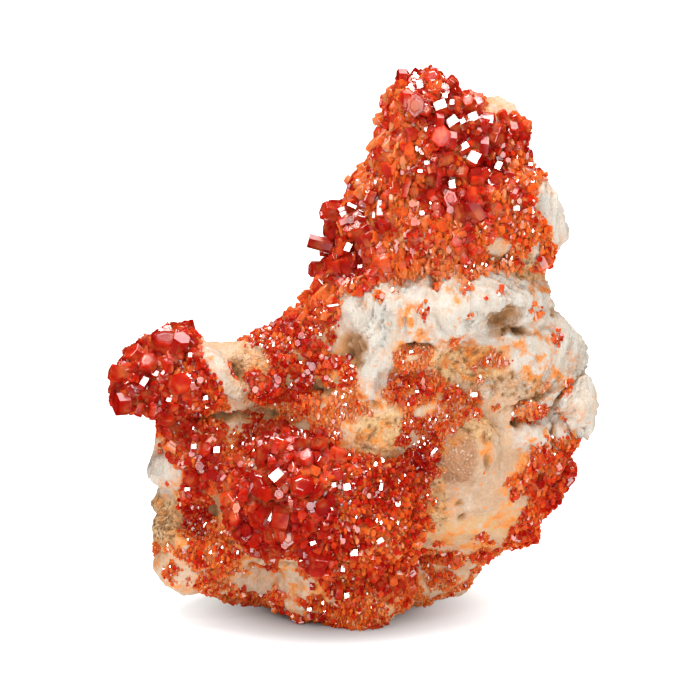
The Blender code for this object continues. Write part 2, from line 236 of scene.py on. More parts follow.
stoneShape = {
    "voxel": 0.47,  # in mm, as all of these are
    "relax": 12,  # rounds of smoothing the facets
    "lumps": (8.0, 0.45),  # size and depth
    "grit": (2.4, 0.36),
    "ledges": (3.4, 0.5),
    "bedding": (0.32, -0.20, 0.93),  # the direction the ledges step in
    "blades": (0.95, 0.45),
    "pores": (1.25, 0.5),
    "wander": 0.8,  # how far the edges of the places below stray
}

# Places in the front view, in mm: across, up, half-width, half-height, then a strength and a tilt in degrees
# where they are needed
stoneTones = {
    "white": {
        "band": (16, 52.5, 17.6, 6.7), "rightSide": (33.6, 43.7, 7.6, 12.5), "curtain": (3.5, 45, 3.5, 7.2),
        "flank": (30.4, 66.9, 5.5, 9), "curtainFoot": (4.4, 38, 2.4, 2.6), "slab": (-20.6, 42, 1.5, 5.6, 1, 34),
        "leftWall": (-29.9, 25.2, 3, 3.4), "bladeFace": (30.6, 31.6, 4, 2.4, 1, -15),
        "cube": (21.6, 39.2, 1, 1.8), "rightBlades": (37, 33, 3, 5), "lowerBlade": (30.4, 31, 4, 3, 1, -20),
    },
    "smooth": {
        "slab": (-20.6, 42, 1.9, 5.8, 1, 34), "leftWall": (-29.9, 24.8, 3.4, 3.8),
        "creamFace": (20, 21.3, 10.9, 9),
    },
    "cream": {
        "creamFace": (20, 21.3, 11.5, 9.6), "tip": (24, 84.6, 4.5, 2.4, 1, -15),
        "noduleCap": (20.8, 32.6, 3.6, 3.2), "shelf": (-10.4, 8.2, 8.8, 3.6, 1, -22),
        "corner": (-28.5, 11.4, 3.8, 3.2), "toe": (-4.6, 5.4, 1.6, 1.2),
    },
    "yellow": {
        "faceFoot": (16, 16.2, 6, 2.4), "pitted": (4.4, 32.4, 5, 4), "midTan": (19.2, 43, 6.4, 2.6),
        "shelfEdge": (-7.5, 13.5, 5, 1.3, 1, -20), "noduleCap": (20.6, 32.8, 2.8, 2.2),
        "faceRight": (24.4, 17.2, 4.6, 2.2, 1, 10), "faceLeft": (13.8, 19, 2.2, 4.4),
    },
    "porous": {
        "pitted": (5.6, 31.2, 4.8, 4), "midTan": (19.2, 41.6, 6.4, 4.2), "greyTan": (27.2, 39.2, 4.2, 2.6),
        "armStone": (-15.4, 41.8, 5, 5.1), "leftPorous": (-30, 17.2, 3, 4.8), "underPeak": (28.8, 58.4, 5.1, 2),
        "faceLeft": (13.6, 20.8, 2.6, 4), "noduleCap": (20.4, 32.4, 3.2, 2.8),
    },
    "brown": {
        "leftPorous": (-30, 17.2, 3, 4.8), "underPeak": (28.8, 58.6, 5.1, 1.7),
        "peakCleft": (22.7, 59.4, 1.8, 0.9), "noduleFoot": (14.5, 25.2, 3, 1.8, 1, 20), "saddle": (-6, 42, 7, 5),
        "browHollow": (25, 50.2, 3.2, 1.7, 1, 22), "leftCavity": (-24, 18, 4, 3.6),
        "midHollow": (-12, 35, 6, 1.8, 1, 4),
    },
    "pink": {
        "nodule": (16.8, 28, 3.8, 4.2, 1, 20), "noduleTop": (17.6, 31, 2.8, 3),
        "leftFace": (-21.2, 20.8, 1.8, 2.4, 1, -40),
    },
}

# The strength is a depth or a height in mm, and on the blades how much more they stand out. Swells reach
# round the outline.
stoneForms = {
    "hole": {
        "browHollow": (24.4, 50.8, 2.5, 1.2, 1.6, 22), "browRim": (26.6, 48.4, 2.4, 0.6, 2, -8),
        "browSlot": (13.4, 56.3, 0.7, 1.7, 2), "browSlotTop": (13.8, 57.8, 1.5, 0.7, 2.2),
        "curtainSide": (0.4, 45.2, 2, 3, 1.1), "saddleHole": (-4.8, 39.2, 2.1, 1.2, 1.8),
        "heartHole": (9.6, 45.8, 1, 0.8, 1.4, 30), "sideHole": (28.3, 34, 1.9, 0.8, 1.9, 5),
        "sideCrack": (32.6, 31.6, 0.4, 2.3, 1.2, -8), "pinHole": (18.1, 18.4, 0.65, 0.5, 0.9),
        "pinHoleTwo": (17.9, 21, 0.5, 0.3, 0.6), "slot": (21.9, 27.4, 0.5, 1.3, 0.9, -5),
        "dot": (24, 44.8, 0.35, 0.35, 0.7), "smallHole": (3.7, 36.6, 0.6, 0.5, 0.9),
        "armPit": (-18, 42.2, 1.6, 1.9, 1.3), "fissure": (-18.4, 34.6, 7.7, 0.9, 1.6, 4),
        "leftCavity": (-24.5, 18.4, 3, 3.2, 1.3), "leftCavityLow": (-21.6, 14.9, 3.2, 0.8, 0.8),
        "shelfCrack": (-12.5, 11.2, 2.4, 0.6, 1.3, -12), "shelfCrackTwo": (-6.4, 9.9, 4.5, 0.5, 1, -10),
        "edgeHole": (32.8, 51.4, 0.8, 0.6, 0.9), "peakCleft": (22.7, 59.4, 1.8, 0.8, 1.5),
        "flankPit": (25.9, 60, 1.3, 0.8, 0.9), "underBrow": (11, 45.8, 2.8, 0.6, 1.3, -3),
        "sideFold": (29, 37.2, 5, 0.6, 0.9, 24), "bladeFold": (34.5, 38.6, 3.6, 0.5, 0.9, 50),
    },
    "raised": {
        "nodule": (18.4, 30.4, 5, 5.2, 1.1), "pitted": (5.4, 31.8, 5.2, 4.4, 0.7),
        "cube": (21.6, 39.2, 0.9, 1.7, 0.9), "slab": (-20.6, 42, 1.4, 5.4, 0.7, 34),
        "bladeFace": (29.4, 31.2, 3.4, 2.2, 0.9, -15),
    },
    "blade": {
        "rightEdge": (37.5, 36, 4.4, 9, 1.3), "band": (14, 52, 16, 5, 0.5),
        "shelf": (-10.4, 8.6, 9.4, 4, 0.6, -22), "corner": (-27, 9, 5, 4, 0.5),
    },
    "swell": {
        "right": (38.4, 38, 4, 12, 1.1), "rightBrow": (36.6, 47.4, 2.6, 3.6, 1),
        "rightFoot": (26, 9.4, 10, 4.2, 2.9, 32), "armTop": (-20.8, 49, 3.4, 3, -1.9),
        "flank": (34, 66.6, 2.4, 3.6, 1.4), "saddleTop": (-13, 50.8, 4.2, 3, -2.4),
        "peakLeft": (0.2, 76.4, 2.8, 11, -1.9, -30), "left": (-32.4, 23.4, 2, 3.4, 1.3),
        "leftMid": (-33.2, 18.8, 2, 2.8, 1.3), "leftLow": (-33.6, 13.4, 2.2, 2.4, -1),
        "shoulder": (30.6, 77, 2.6, 4, -1.6), "rightLow": (36.6, 29.4, 2.4, 4, 1.2),
        "leftFoot": (-25, 6.2, 6.4, 2.8, 1.8, -20), "footRight": (12, 4, 5.4, 2.6, 1.6, 20),
    },
}


def stoneSurface():
    # the CAD stone with its facets relaxed, then moved along its normals by lumps, grit, ledges, blades and pores
    points, quads = remeshed("matrix", stoneShape["voxel"])
    for _ in range(stoneShape["relax"]):  # each step back out undoes the shrinking of the step in
        points = averaged(averaged(points, quads, 1, 0.6), quads, 1, -0.62)
    normals = quadNormals(points, quads)
    across, height = frontPlace(points)
    faces = inView(points, quads, normals, -0.3)
    wander = rough(points, 3.0, 2, 60) * stoneShape["wander"]
    places = (across + wander, height + rough(points, 3.0, 2, 70) * stoneShape["wander"])
    tone = {key: mostOf(*places, spots) * faces for key, spots in stoneTones.items()}
    white, porous, calm = tone["white"], tone["porous"], tone.pop("smooth")

    size, depth = stoneShape["lumps"]
    move = depth * rough(points, size, 2, 1)
    size, depth = stoneShape["grit"]
    move += depth * rough(points, size, 4, 2) * (1.0 - 0.5 * calm) * (1.0 - 0.3 * white)
    size, depth = stoneShape["ledges"]
    bed = points @ (np.array(stoneShape["bedding"]) / size) + 0.8 * rough(points, 9.0, 2, 5)
    broken = smoothStep(-0.3, 0.5, rough(points, 7.0, 2, 6))
    move += depth * ((bed % 1.0) ** 4 - 0.2) * (1.0 - 0.8 * calm) * (1.0 - 0.6 * white) * broken

    # blades: ridges that run up and to the right across the white baryte
    size, depth = stoneShape["blades"]
    lean = 0.6 + 0.5 * noise(points / 14.0, 9)
    along = points[:, 2] * np.cos(lean) + points[:, 0] * np.sin(lean)
    beside = points[:, 0] * np.cos(lean) - points[:, 2] * np.sin(lean)
    ridge = 1.0 - np.abs(noise(np.stack([beside / size, along / 6.0, points[:, 1] / 2.5], axis=1), 20)) * 2.0
    outside = np.maximum(white, 0.45 * (1.0 - faces))
    move += depth * ridge * piled(outside, *places, stoneForms["blade"], 0.5)

    # pores: round pits round random points, each with its own width
    size, depth = stoneShape["pores"]
    bent = points + 0.7 * np.stack([rough(points, 1.6, 2, seed) for seed in (36, 37, 38)], axis=1)
    near, own = grains(bent, size, 30)
    pore = smoothStep(0.3 + 0.35 * own, 0.1, near) * (own > 0.3)
    back = (1.0 - faces) * smoothStep(0.0, 0.5, rough(points, 12.0, 2, 33))
    move -= depth * pore * np.maximum(porous, back * 0.8)
    move += 0.3 * rough(points, 1.1, 2, 35) * tone["pink"]

    jag = rough(points, 1.3, 3, 66)
    # pores and holes get a painted shade in their colour, the deeper holes more of it
    paintedShade = 0.75 * pore * np.maximum(porous, 0.7 * back)
    for spot in stoneForms["hole"].values():
        here = spotted(across + 0.4 * wander, height + 0.5 * jag, spot, 0.35) * faces * (1.0 + 0.45 * jag)
        move -= spot[4] * here
        paintedShade = np.maximum(paintedShade, here * min(1.0, 0.35 + 0.25 * spot[4]))
    move = piled(move, across, height, stoneForms["raised"], 0.7, faces * (1.0 + 0.35 * jag))
    move = piled(move, across, height, stoneForms["swell"], 0.8)
    low = smoothStep(0.2, 1.6, points[:, 2])  # the foot stays flat
    points = points + normals * (move * low)[:, None]
    points[:, 2] = np.maximum(points[:, 2], 0.0)

    # how far each point lies below its smoothed surroundings, for the painted shade in hollows
    sunk = np.einsum("ij,ij->i", averaged(points, quads, 25) - points, normals)
    behind = 0.5 * (1 - faces) * smoothStep(-0.2, 0.5, rough(points, 16.0, 2, 41))
    tone["brown"] = np.maximum(tone["brown"], np.maximum(back * 0.35, calm * (1.0 - white) * 0.5))
    tone["white"] = np.maximum(white, behind)
    tone["porous"] = np.maximum(porous, back * 0.7)
    tone["paintedShade"] = paintedShade
    tone["hollowShade"] = smoothStep(0.02, 0.45, sunk)
    return points, quads, quadNormals(points, quads), tone


# Zones of the front view: place, smallest and largest radius in mm, tone from deep red 0 to pale orange 1,
# how far crystals lean from the surface's normal, length as a share of the radius, and how closely they pack
zones = {
    "peakCore": ((17.9, 78.1, 10.6, 11.5), 0.42, 1.9, 0.08, 0.9, 1.1, 0.52),
    "peakTip": ((12, 87.7, 6.1, 4.2), 0.42, 1.7, 0.2, 0.9, 1.1, 0.52),
    "peakLeft": ((6.1, 74.9, 5.8, 13.1, 1, -18), 0.38, 1.5, 0.5, 1.3, 2, 0.5),
    "peakEdge": ((-2.7, 62.9, 6.4, 11.5, 1, -24), 0.4, 1.8, 0.2, 0.8, 1.5, 0.52),
    "peakLow": ((12.8, 62.1, 13.1, 5.8), 0.34, 1.5, 0.4, 1.3, 1.5, 0.5),
    "peakRight": ((26.9, 68.5, 4.2, 9.9, 1, 8), 0.33, 1.2, 0.34, 1.2, 1.5, 0.5),
    "knob": ((-31.2, 40.5, 9.8, 8.8), 0.35, 1.5, 0.06, 0.8, 0.9, 0.54),
    "neck": ((-24, 34.4, 5.8, 3.2), 0.3, 1.1, 0.1, 0.9, 0.9, 0.54),
    "saddleTop": ((-12.5, 47.7, 5.4, 2.4), 0.25, 0.8, 0.22, 0.9, 0.9, 0.54),
    "saddle": ((-7.2, 42.1, 7.7, 6.4), 0.25, 1, 0.08, 1, 0.9, 0.54),
    "orangeMid": ((-3.2, 36, 8.6, 3.8), 0.28, 0.8, 0.5, 1, 0.8, 0.55),
    "leftBelly": ((-23.2, 27.4, 9.3, 6.1), 0.32, 1.2, 0.18, 0.9, 0.9, 0.54),
    "coreBelly": ((-9.3, 21.3, 8.6, 11.5), 0.34, 1.9, 0.06, 0.9, 0.9, 0.54),
    "druse": ((4.5, 18.1, 9.9, 12.8), 0.23, 0.9, 0.3, 1.3, 1.9, 0.54),
    "lowDruse": ((0, 6.6, 10.6, 4.2), 0.28, 1.1, 0.3, 0.8, 1.1, 0.54),
    "cavity": ((-25.4, 17.2, 2.2, 2.6), 0.25, 0.7, 0, 1, 0.8, 0.54),
    "lowLeft": ((-24, 12, 7.4, 4.8), 0.26, 0.8, 0.42, 1.3, 0.8, 0.55),
    "edgeRow": ((-10.4, 4, 7, 2.1, 1, -10), 0.4, 1.3, 0.2, 0.8, 0.9, 0.54),
    "heart": ((14.4, 39.7, 10.6, 6.1), 0.24, 0.8, 0.44, 1, 0.9, 0.54),
    "link": ((10.7, 30.1, 3.2, 6.4), 0.22, 0.6, 0.05, 1, 0.9, 0.54),
    "rim": ((32.3, 23.7, 4.5, 7.4), 0.28, 1, 0.3, 0.9, 0.9, 0.54),
    "rimLow": ((25.9, 14.9, 6.4, 3.2, 1, 25), 0.28, 0.9, 0.22, 1, 0.9, 0.54),
    "lowRight": ((16.8, 8.5, 9, 3.5, 1, 20), 0.28, 0.9, 0.36, 1.2, 0.9, 0.54),
    "spur": ((32, 62.6, 2.1, 4.2), 0.3, 0.9, 0.4, 0.9, 1, 0.54),
}
plainZone = (0.3, 1.1, 0.25, 0.9, 0.9, 0.54)  # what lies in none of them

# The strength is the share of the place that a speckle fills, but in mm on the trims. Dust has none.
crustReach = {
    # where the crust runs out beyond the CAD's crusts, thin
    "thin": {
        "saddle": (-6, 41.6, 7.6, 7.4, 0.75), "saddleTop": (-11, 47.6, 5.4, 2.2, 0.6),
        "mid": (-6, 34.6, 12, 3.6, 0.85, 4), "neck": (-24.4, 33.6, 6.4, 3.4, 0.9),
        "heart": (10.2, 40.4, 5.2, 5.6, 0.66), "heartRight": (21, 39.6, 4.4, 3, 0.42, 30),
        "browDust": (17.6, 45, 6.5, 2, 0.3), "link": (10.8, 29, 3, 9, 0.95), "druse": (4, 19, 9.6, 11, 1),
        "left": (-23.2, 27.4, 8.2, 6, 0.85), "leftLow": (-23, 12.6, 7.4, 4.2, 0.75),
        "core": (-9.6, 22, 9.6, 11, 1), "edgeRow": (-10.4, 3.4, 7.4, 2.4, 0.8, -10),
        "lowRight": (17, 8.4, 9.4, 3.2, 0.6, 22), "rimLow": (26.2, 14.6, 6.6, 3.2, 0.75, 28),
        "rim": (33, 23.2, 3.8, 7.4, 0.9), "sideSpot": (28.8, 35.8, 2.9, 1.5, 0.8),
        "sideDots": (34.6, 36.4, 1.8, 3.4, 0.4), "sideRun": (36.2, 28, 1.4, 4, 0.6),
        "peakFoot": (13, 60.2, 13.4, 2.8, 0.9, -2), "peakSide": (27.2, 67, 3.2, 9, 0.97, 6),
        "peakHeel": (-4.2, 54.4, 3.6, 4.4, 0.95), "peakShoulder": (28, 77.2, 3.2, 6.4, 0.9, 30),
        "leftEdge": (-31, 13, 1.6, 4, 0.45), "leftCavity": (-24.4, 17.8, 3.6, 3.8, 0.95, 20),
        "foot": (0.4, 2.6, 5.4, 3.4, 0.85), "lowEdge": (-19, 5.4, 9, 1.8, 0.6, -24),
        "rightFoot": (31, 13, 6, 3, 0.8, 35), "knobRight": (-23.6, 41.4, 2.6, 6, 0.95, 30),
        "noduleTop": (15.6, 33.2, 2.2, 1.6, 0.7, 20), "bandBits": (14, 51, 18, 6, 0.035),
        "sideBits": (32, 44, 7, 12, 0.05), "armBits": (-15, 43, 6, 5, 0.05),
        "shelfBits": (-10, 9, 10, 4, 0.2, -24), "faceBits": (20, 20, 10, 9, 0.05),
        "cornerBits": (-27, 12, 5, 5, 0.35), "heartBits": (20, 40, 8, 6, 0.16),
    },
    # where the bare stone shows through it
    "bare": {
        "pitted": (5.2, 32, 5.8, 4.8, 0.97), "nodule": (18.6, 28.6, 5.2, 5.2, 1),
        "shelf": (-9.6, 9.4, 8.2, 2.4, 0.85, -24), "fissure": (-18.4, 34.4, 7, 0.9, 1, 4),
        "leftPorous": (-30.2, 17.6, 2.6, 4.6, 1), "leftCorner": (-30.4, 11.2, 2, 1.8, 0.8, -30),
        "saddleHole": (-4.8, 39.2, 2.4, 1.4, 1), "curtain": (3.8, 44.6, 3.4, 6.8, 0.97, -4),
        "bandTop": (10.5, 53.6, 12.5, 4, 0.98, 6), "band": (14, 51, 14, 3.4, 0.98, 8),
        "midTan": (19.2, 42.4, 5.8, 3, 0.84), "cube": (21.8, 38.6, 2, 2.2, 1),
        "leftWall": (-30.6, 24.4, 4.4, 4.6, 1), "face": (21, 20.8, 8.4, 7.6, 0.97),
        "faceLow": (15.5, 14.6, 5.6, 2.4, 0.75, 10), "neckPit": (-15.2, 26.8, 1.3, 2, 0.9, 20),
        "arm": (-16, 42.8, 4.4, 3.8, 0.94), "slab": (-20.6, 42, 1.9, 5.8, 1, 34),
        "saddleGaps": (-6.5, 42.5, 7.5, 6, 0.42), "midGaps": (-1, 35.6, 9.5, 4, 0.3),
        "heartGaps": (12, 40, 7.5, 6.5, 0.5), "leftGaps": (-22, 27, 8, 5.6, 0.18),
        "lowLeftGaps": (-23, 11.5, 7.4, 4.6, 0.32), "lowDruseGaps": (8, 8, 8, 4, 0.2),
        "rimGaps": (31, 21, 5, 8, 0.34), "lowRightGaps": (20, 10, 9, 4, 0.52, 20),
        "flank": (33.2, 68.8, 3.2, 5.4, 1), "flankLow": (30.4, 60.2, 1.5, 3, 0.6),
        "leftFace": (-21.2, 20.8, 1.8, 2.4, 0.95, -40), "flankFoot": (31.6, 55.6, 4, 3.2, 1),
        "peakPocket": (8, 63.5, 2.4, 2.2, 0.7), "peakPocketTwo": (24.2, 61.4, 2.4, 1.6, 0.8),
        "peakDust": (7, 72, 4, 9, 0.14, -18),
    },
    # where it stands further out, or less far, than the CAD's
    "trim": {
        "knobLeft": (-37.6, 39.6, 3.4, 5.4, 2.6), "knobFoot": (-35.2, 33.8, 3.2, 2.2, -1.8),
        "knobTop": (-37, 46.4, 2.4, 2.4, -1.2), "peakShoulder": (30.2, 76, 2.4, 3.4, -1.2),
        "rimLow": (34, 16.4, 3, 2.6, -1.8), "spur": (35.4, 63.6, 2.6, 4.4, -1.4),
        "peakNotch": (-2.2, 71.8, 2.4, 3.4, -1.6), "rightRim": (36.6, 25, 3.2, 8, 1.3, -8),
        "rightFoot": (30.4, 13.6, 6, 3, 0.9, 35),
    },
    # streaks of orange dust on the bare stone
    "dust": {
        "bandLeft": (1.4, 54.6, 1.2, 3.6), "bandDrop": (10.5, 48.6, 2.2, 4.2, 1, 25),
        "bandMiddle": (17, 54.6, 0.8, 3.8, 1, -8), "bandFoot": (13.5, 45.6, 8, 1.8),
        "browDust": (19.5, 44.6, 5.5, 2.2), "browSide": (29, 47.5, 5, 2, 1, 20),
        "heartDust": (16.5, 40.6, 6.5, 4.6), "sideRun": (34.4, 37.4, 1.4, 4.2),
        "sideLow": (36.2, 30.5, 1.2, 4.4, 1, -8), "tipDust": (26, 80.4, 4.5, 3.2, 1, -20),
        "flankDust": (31, 55.6, 3.4, 2.6), "midDust": (-2.6, 36, 9.6, 4), "pittedDust": (4.4, 33, 5.4, 2.6),
        "noduleDust": (14, 32.2, 2.6, 2.6), "noduleSide": (22, 29.4, 1.8, 1.4, 1, 40),
        "faceLeft": (12.6, 20, 3.6, 8), "faceFoot": (19, 13.8, 8, 2.6, 1, 10),
        "faceRight": (28.8, 19.6, 4.2, 6, 1, 10), "rightDust": (31, 42.6, 4.6, 5),
        "faceSpeck": (24, 17, 5, 2.6, 1, 15), "bladeDust": (30.6, 29.4, 4.2, 2.6),
        "armDust": (-12, 43, 3.4, 3.6), "shelfDust": (-10.4, 9, 9, 3.4, 1, -22),
        "cornerDust": (-27.5, 11.6, 5, 4), "wallDust": (-28.6, 20.6, 3, 2.6),
    },
}

crustLook = {
    "least": 0.12,  # the thinnest that counts as crust, in mm
    "under": 0.3,  # how far the patch lies under the crust's surface, which its crystals make up
    "uneven": 0.22,  # and how far it rises and falls
    "buried": 0.9,  # how deep its inner side lies in the stone
    "tries": 24,  # crystals tried for each square millimetre
    "fine": 0.5,  # the share of them that are small
    "flecks": 0.03,  # the share of the small ones that catch the key lamp
    "wander": 1.1,  # how far the zones' edges stray, in mm
    "paired": 0.7,  # the radius in mm above which a crystal has lower ones beside it
    "bevelled": 0.62,  # the radius in mm above which its end has a bevel and a middle
    "thin": 0.6,  # how thick the thin crust is, in mm
    "deepest": 3.0,  # the thickest it is, in mm
    "room": 1.1,  # how much lower it lies where it is thick, so that crystals can stand on it
    "lowest": 0.3,  # no crystal has its foot lower than this above the floor, in mm
    "stray": 0.9,  # how far the edges of the places above stray, in mm
}

# Large crystals: across, up, radius and height in mm, and the axis
standing = [
    (8.8, 88.6, 1.7, 1.7, (-0.5, -0.3, 0.8)), (13.3, 89.2, 1.8, 1, (-0.15, -0.75, 0.6)),
    (16.2, 88, 1.3, 1.4, (0.5, -0.3, 0.8)), (10.2, 85.2, 2.3, 1.3, (-0.15, -0.95, 0.1)),
    (14.4, 79.8, 2.2, 1.7, (0.15, -0.9, 0.3)), (25.4, 73.2, 1.8, 1.2, (0.3, -0.9, 0.15)),
    (18.4, 74.2, 1.7, 1.1, (-0.1, -0.85, 0.45)), (13, 72, 2.5, 1.8, (0, -0.4, 0.9)),
    (20.8, 72.2, 2.3, 1.6, (0.1, -0.4, 0.9)), (4.8, 80, 1.4, 1.2, (-0.85, -0.4, 0.3)),
    (1, 71.2, 1.7, 1.6, (-0.85, -0.3, 0.35)), (-1.6, 67.4, 2, 2.8, (-0.85, -0.3, 0.3)),
    (-4.6, 58.6, 1.7, 1.8, (-0.85, -0.4, 0.1)), (-4.4, 55.8, 1.8, 1.5, (-0.7, -0.6, 0.25)),
    (-30, 46, 3, 1.6, (0.05, -0.35, 0.93)), (-34.6, 44.2, 1.7, 1.4, (-0.6, -0.3, 0.7)),
    (-37, 41.4, 1.8, 1.6, (-0.85, -0.4, 0.25)), (-32.6, 43, 2, 1.6, (-0.2, -0.6, 0.75)),
    (-27.4, 46, 2, 2, (0.25, -0.4, 0.87)), (-27.6, 39, 2.2, 1.8, (0.3, -0.85, 0.3)),
    (-8.2, 22.8, 2.4, 1.8, (0.1, -0.8, 0.55)), (-6.4, 27, 1.6, 1.6, (-0.2, -0.6, 0.8)),
    (-4.6, 10.6, 2.6, 1.8, (0.2, -0.5, 0.85)), (-3.8, 29.6, 1.7, 1.6, (-0.3, -0.7, 0.6)),
    (-23.8, 28.2, 1.4, 1.3, (0.2, -0.7, 0.7)), (-25, 24, 1.5, 1.5, (-0.3, -0.8, 0.4)),
]

# Crystals that flash, by the lamp they mirror: across, up, length and width in mm, and roll in degrees
flashing = {
    "key": [
        (11.2, 88, 1, 1.9, 10), (15.2, 86.1, 0.9, 1.1, 0), (14.4, 84.5, 1.9, 2, 20), (16.3, 85, 0.7, 1.1, 0),
        (16.3, 81.9, 1.9, 1.9, 35), (17.8, 81.8, 1.3, 1, 30), (19.8, 82.7, 1.4, 1.9, 20),
        (18.1, 77.8, 1.8, 1.4, 30), (19.8, 76.2, 1.8, 2.4, -30), (23.8, 74.9, 1, 1.9, -25),
        (16.3, 71.8, 1, 1.9, 5), (12.3, 75.2, 0.8, 0.8, 0), (11.2, 73.9, 0.5, 1.1, 80), (29, 75.2, 0.7, 0.8, 0),
        (26.7, 68, 1, 1, 0), (-0.3, 61.8, 1, 1.9, -25), (0.3, 68.5, 0.5, 2.2, 60), (1.6, 58.7, 0.7, 0.7, 0),
        (-33, 40.3, 1, 2, -30), (-31.2, 41.6, 1, 1.2, -30), (-25.6, 44.5, 0.6, 1, 0), (-23.2, 37.6, 0.8, 1, 10),
        (-22.9, 36.2, 0.6, 0.7, 0), (-26.9, 33.9, 0.9, 0.5, 80), (-11.8, 25.3, 2.1, 2.1, 40),
        (-25.1, 29.8, 0.8, 1.1, 0), (-21.4, 29.3, 1, 1.4, 0), (-30.7, 29, 0.6, 0.6, 0), (-26.1, 22.9, 0.9, 0.8, 0),
        (-5.9, 14.4, 0.9, 0.9, 20), (-1.1, 10.4, 1.5, 0.9, 80), (0.6, 12.8, 1.2, 1.5, 0),
        (-0.5, 5.8, 0.8, 1.2, 10), (-0.5, 23.4, 1.1, 1.6, 10), (-2.6, 23.7, 0.7, 1, 0), (5, 23.4, 1.2, 0.7, 80),
        (4.8, 14.7, 1.1, 1.1, 30), (-6.1, 7.4, 0.8, 1, 0), (-6.6, 3.4, 0.7, 0.8, 0), (20, 38.1, 0.9, 1, 0),
        (10.7, 38.6, 0.6, 0.6, 0), (9.8, 45, 0.6, 0.6, 0),
    ],
    "top": [
        (14.4, 82.9, 1.1, 2.3, 10), (16.3, 79.7, 1.6, 2.2, 0), (14.4, 73.8, 0.7, 2.7, 0), (9.3, 72.5, 1, 2.9, -10),
        (26.6, 70.9, 2, 1, 70), (9.9, 80.5, 1.8, 1.8, 30), (21.6, 78.9, 1.3, 2.6, 0), (8.5, 90.1, 1.3, 1.6, 10),
        (13.6, 90.4, 1.3, 1.7, -5), (-4.6, 63.2, 4, 1.6, -10), (5.5, 66, 1.5, 1.8, 40), (3.6, 70.4, 1.2, 1.6, -20),
        (-36.2, 37.8, 2, 2.6, 20), (-33.4, 36.4, 1.1, 1.6, -15), (-29, 43.5, 1, 1.8, 25), (-31.5, 36.4, 1, 1.8, 0),
        (-13.1, 23.4, 1.8, 1.9, 60), (-11, 19.7, 2.6, 3, 0), (-1.6, 7.1, 1, 1.8, 0), (-8.2, 28.6, 1.4, 1.8, 15),
        (-15, 20.6, 1.2, 1.7, -35), (-6, 18, 1.2, 1.6, 25),
    ],
}
flashes = [(*place, lamp) for lamp, places in flashing.items() for place in places]

# Pieces that each of the CAD crusts is made in: the crust, then the bounds in X and in Z, in mm
crustPieces = {
    "peakTop": ("peak_crystals", -99, 99, 72, 99),
    "peakFoot": ("peak_crystals", -99, 99, 0, 72),
    "knob": ("knob_crystals", -99, 99, 0, 99),
    "saddle": ("saddle_crystals", -99, 99, 0, 99),
    "bellyLeft": ("belly_crystals", -99, -12, 0, 99),
    "bellyMiddle": ("belly_crystals", -12, 4, 0, 99),
    "bellyRight": ("belly_crystals", 4, 20, 0, 99),
    "bellyRim": ("belly_crystals", 20, 99, 0, 99),
    "spur": ("spur_crystals", -99, 99, 0, 99),
}
crusts = list(dict.fromkeys(row[0] for row in crustPieces.values()))


def wrapped(points, quads, node, method):
    # where each point lands on a CAD node: straight down its normal, or at the node's nearest place
    probe = meshObject("probe", points, [quads], [True], {})
    wrap = probe.modifiers.new("wrap", "SHRINKWRAP")
    wrap.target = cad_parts[node]
    wrap.wrap_method = method
    if method == "PROJECT":
        wrap.use_positive_direction = False
        wrap.use_negative_direction = True
        wrap.project_limit = 4.4 * mm
    landed = readOut(finishedMesh(probe).vertices, "co", 3)
    bpy.data.objects.remove(probe)
    return landed.reshape(-1, 3) / mm


def crustThickness(points, quads, normals):
    # how far each crust of the CAD stands above the stone, and which crust is nearest to each point
    lift = 4.0
    above = points + unit(averaged(normals, quads, 25)) * lift
    heights, gaps = [], []
    for name in crusts:
        fall = np.linalg.norm(wrapped(above, quads, name, "PROJECT") - above, axis=1)
        heights.append(np.where(fall > 0.001, np.maximum(lift - fall, 0.0), 0.0))
        gaps.append(np.linalg.norm(wrapped(points, quads, name, "NEAREST_SURFACEPOINT") - points, axis=1))
    thick = np.max(heights, axis=0)
    return thick, np.where(thick > 0.05, np.argmax(heights, axis=0), np.argmin(gaps, axis=0))


def zoneValues(across, height):
    # the six numbers of the zone each place lies most deeply in
    rows = np.array([plainZone] + [zone[1:] for zone in zones.values()])
    depth = [np.full(len(across), 0.02)] + [spotted(across, height, zone[0], 0.9) for zone in zones.values()]
    return rows[np.argmax(np.stack(depth), axis=0)]


def crossways(axes):
    # two directions square to each axis and to each other
    helper = np.where(np.abs(axes[..., 2:3]) < 0.9, [0.0, 0.0, 1.0], [1.0, 0.0, 0.0])
    side = unit(np.cross(helper, axes))
    return side, np.cross(axes, side)


def prisms(seats, axes, spins, radii, rings, squash, uneven):
    # a six-sided ring carried along each crystal's axis: ring k has the radius and the height of rings[:, k]
    count, steps = rings.shape[:2]
    side, up = crossways(axes)
    turn = spins[:, None] + np.arange(6)[None, :] * (math.pi / 3)
    x, y = np.cos(turn) * uneven * squash[:, None], np.sin(turn) * uneven
    lateral = x[..., None] * side[:, None, :] + y[..., None] * up[:, None, :]
    ring = lateral[:, None] * (rings[:, :, 0] * radii[:, None])[..., None, None]
    rise = axes[:, None, None, :] * rings[:, :, 1][..., None, None]
    points = (seats[:, None, None, :] + ring + rise).reshape(-1, 3)

    index = np.arange(count * steps * 6).reshape(count, steps, 6)
    low, high = index[:, :-1], index[:, 1:]
    quads = np.stack([low, np.roll(low, -1, 2), np.roll(high, -1, 2), high], axis=-1).reshape(-1, 4)
    return points, quads, np.concatenate([index[:, -1], index[:, 0, ::-1]])


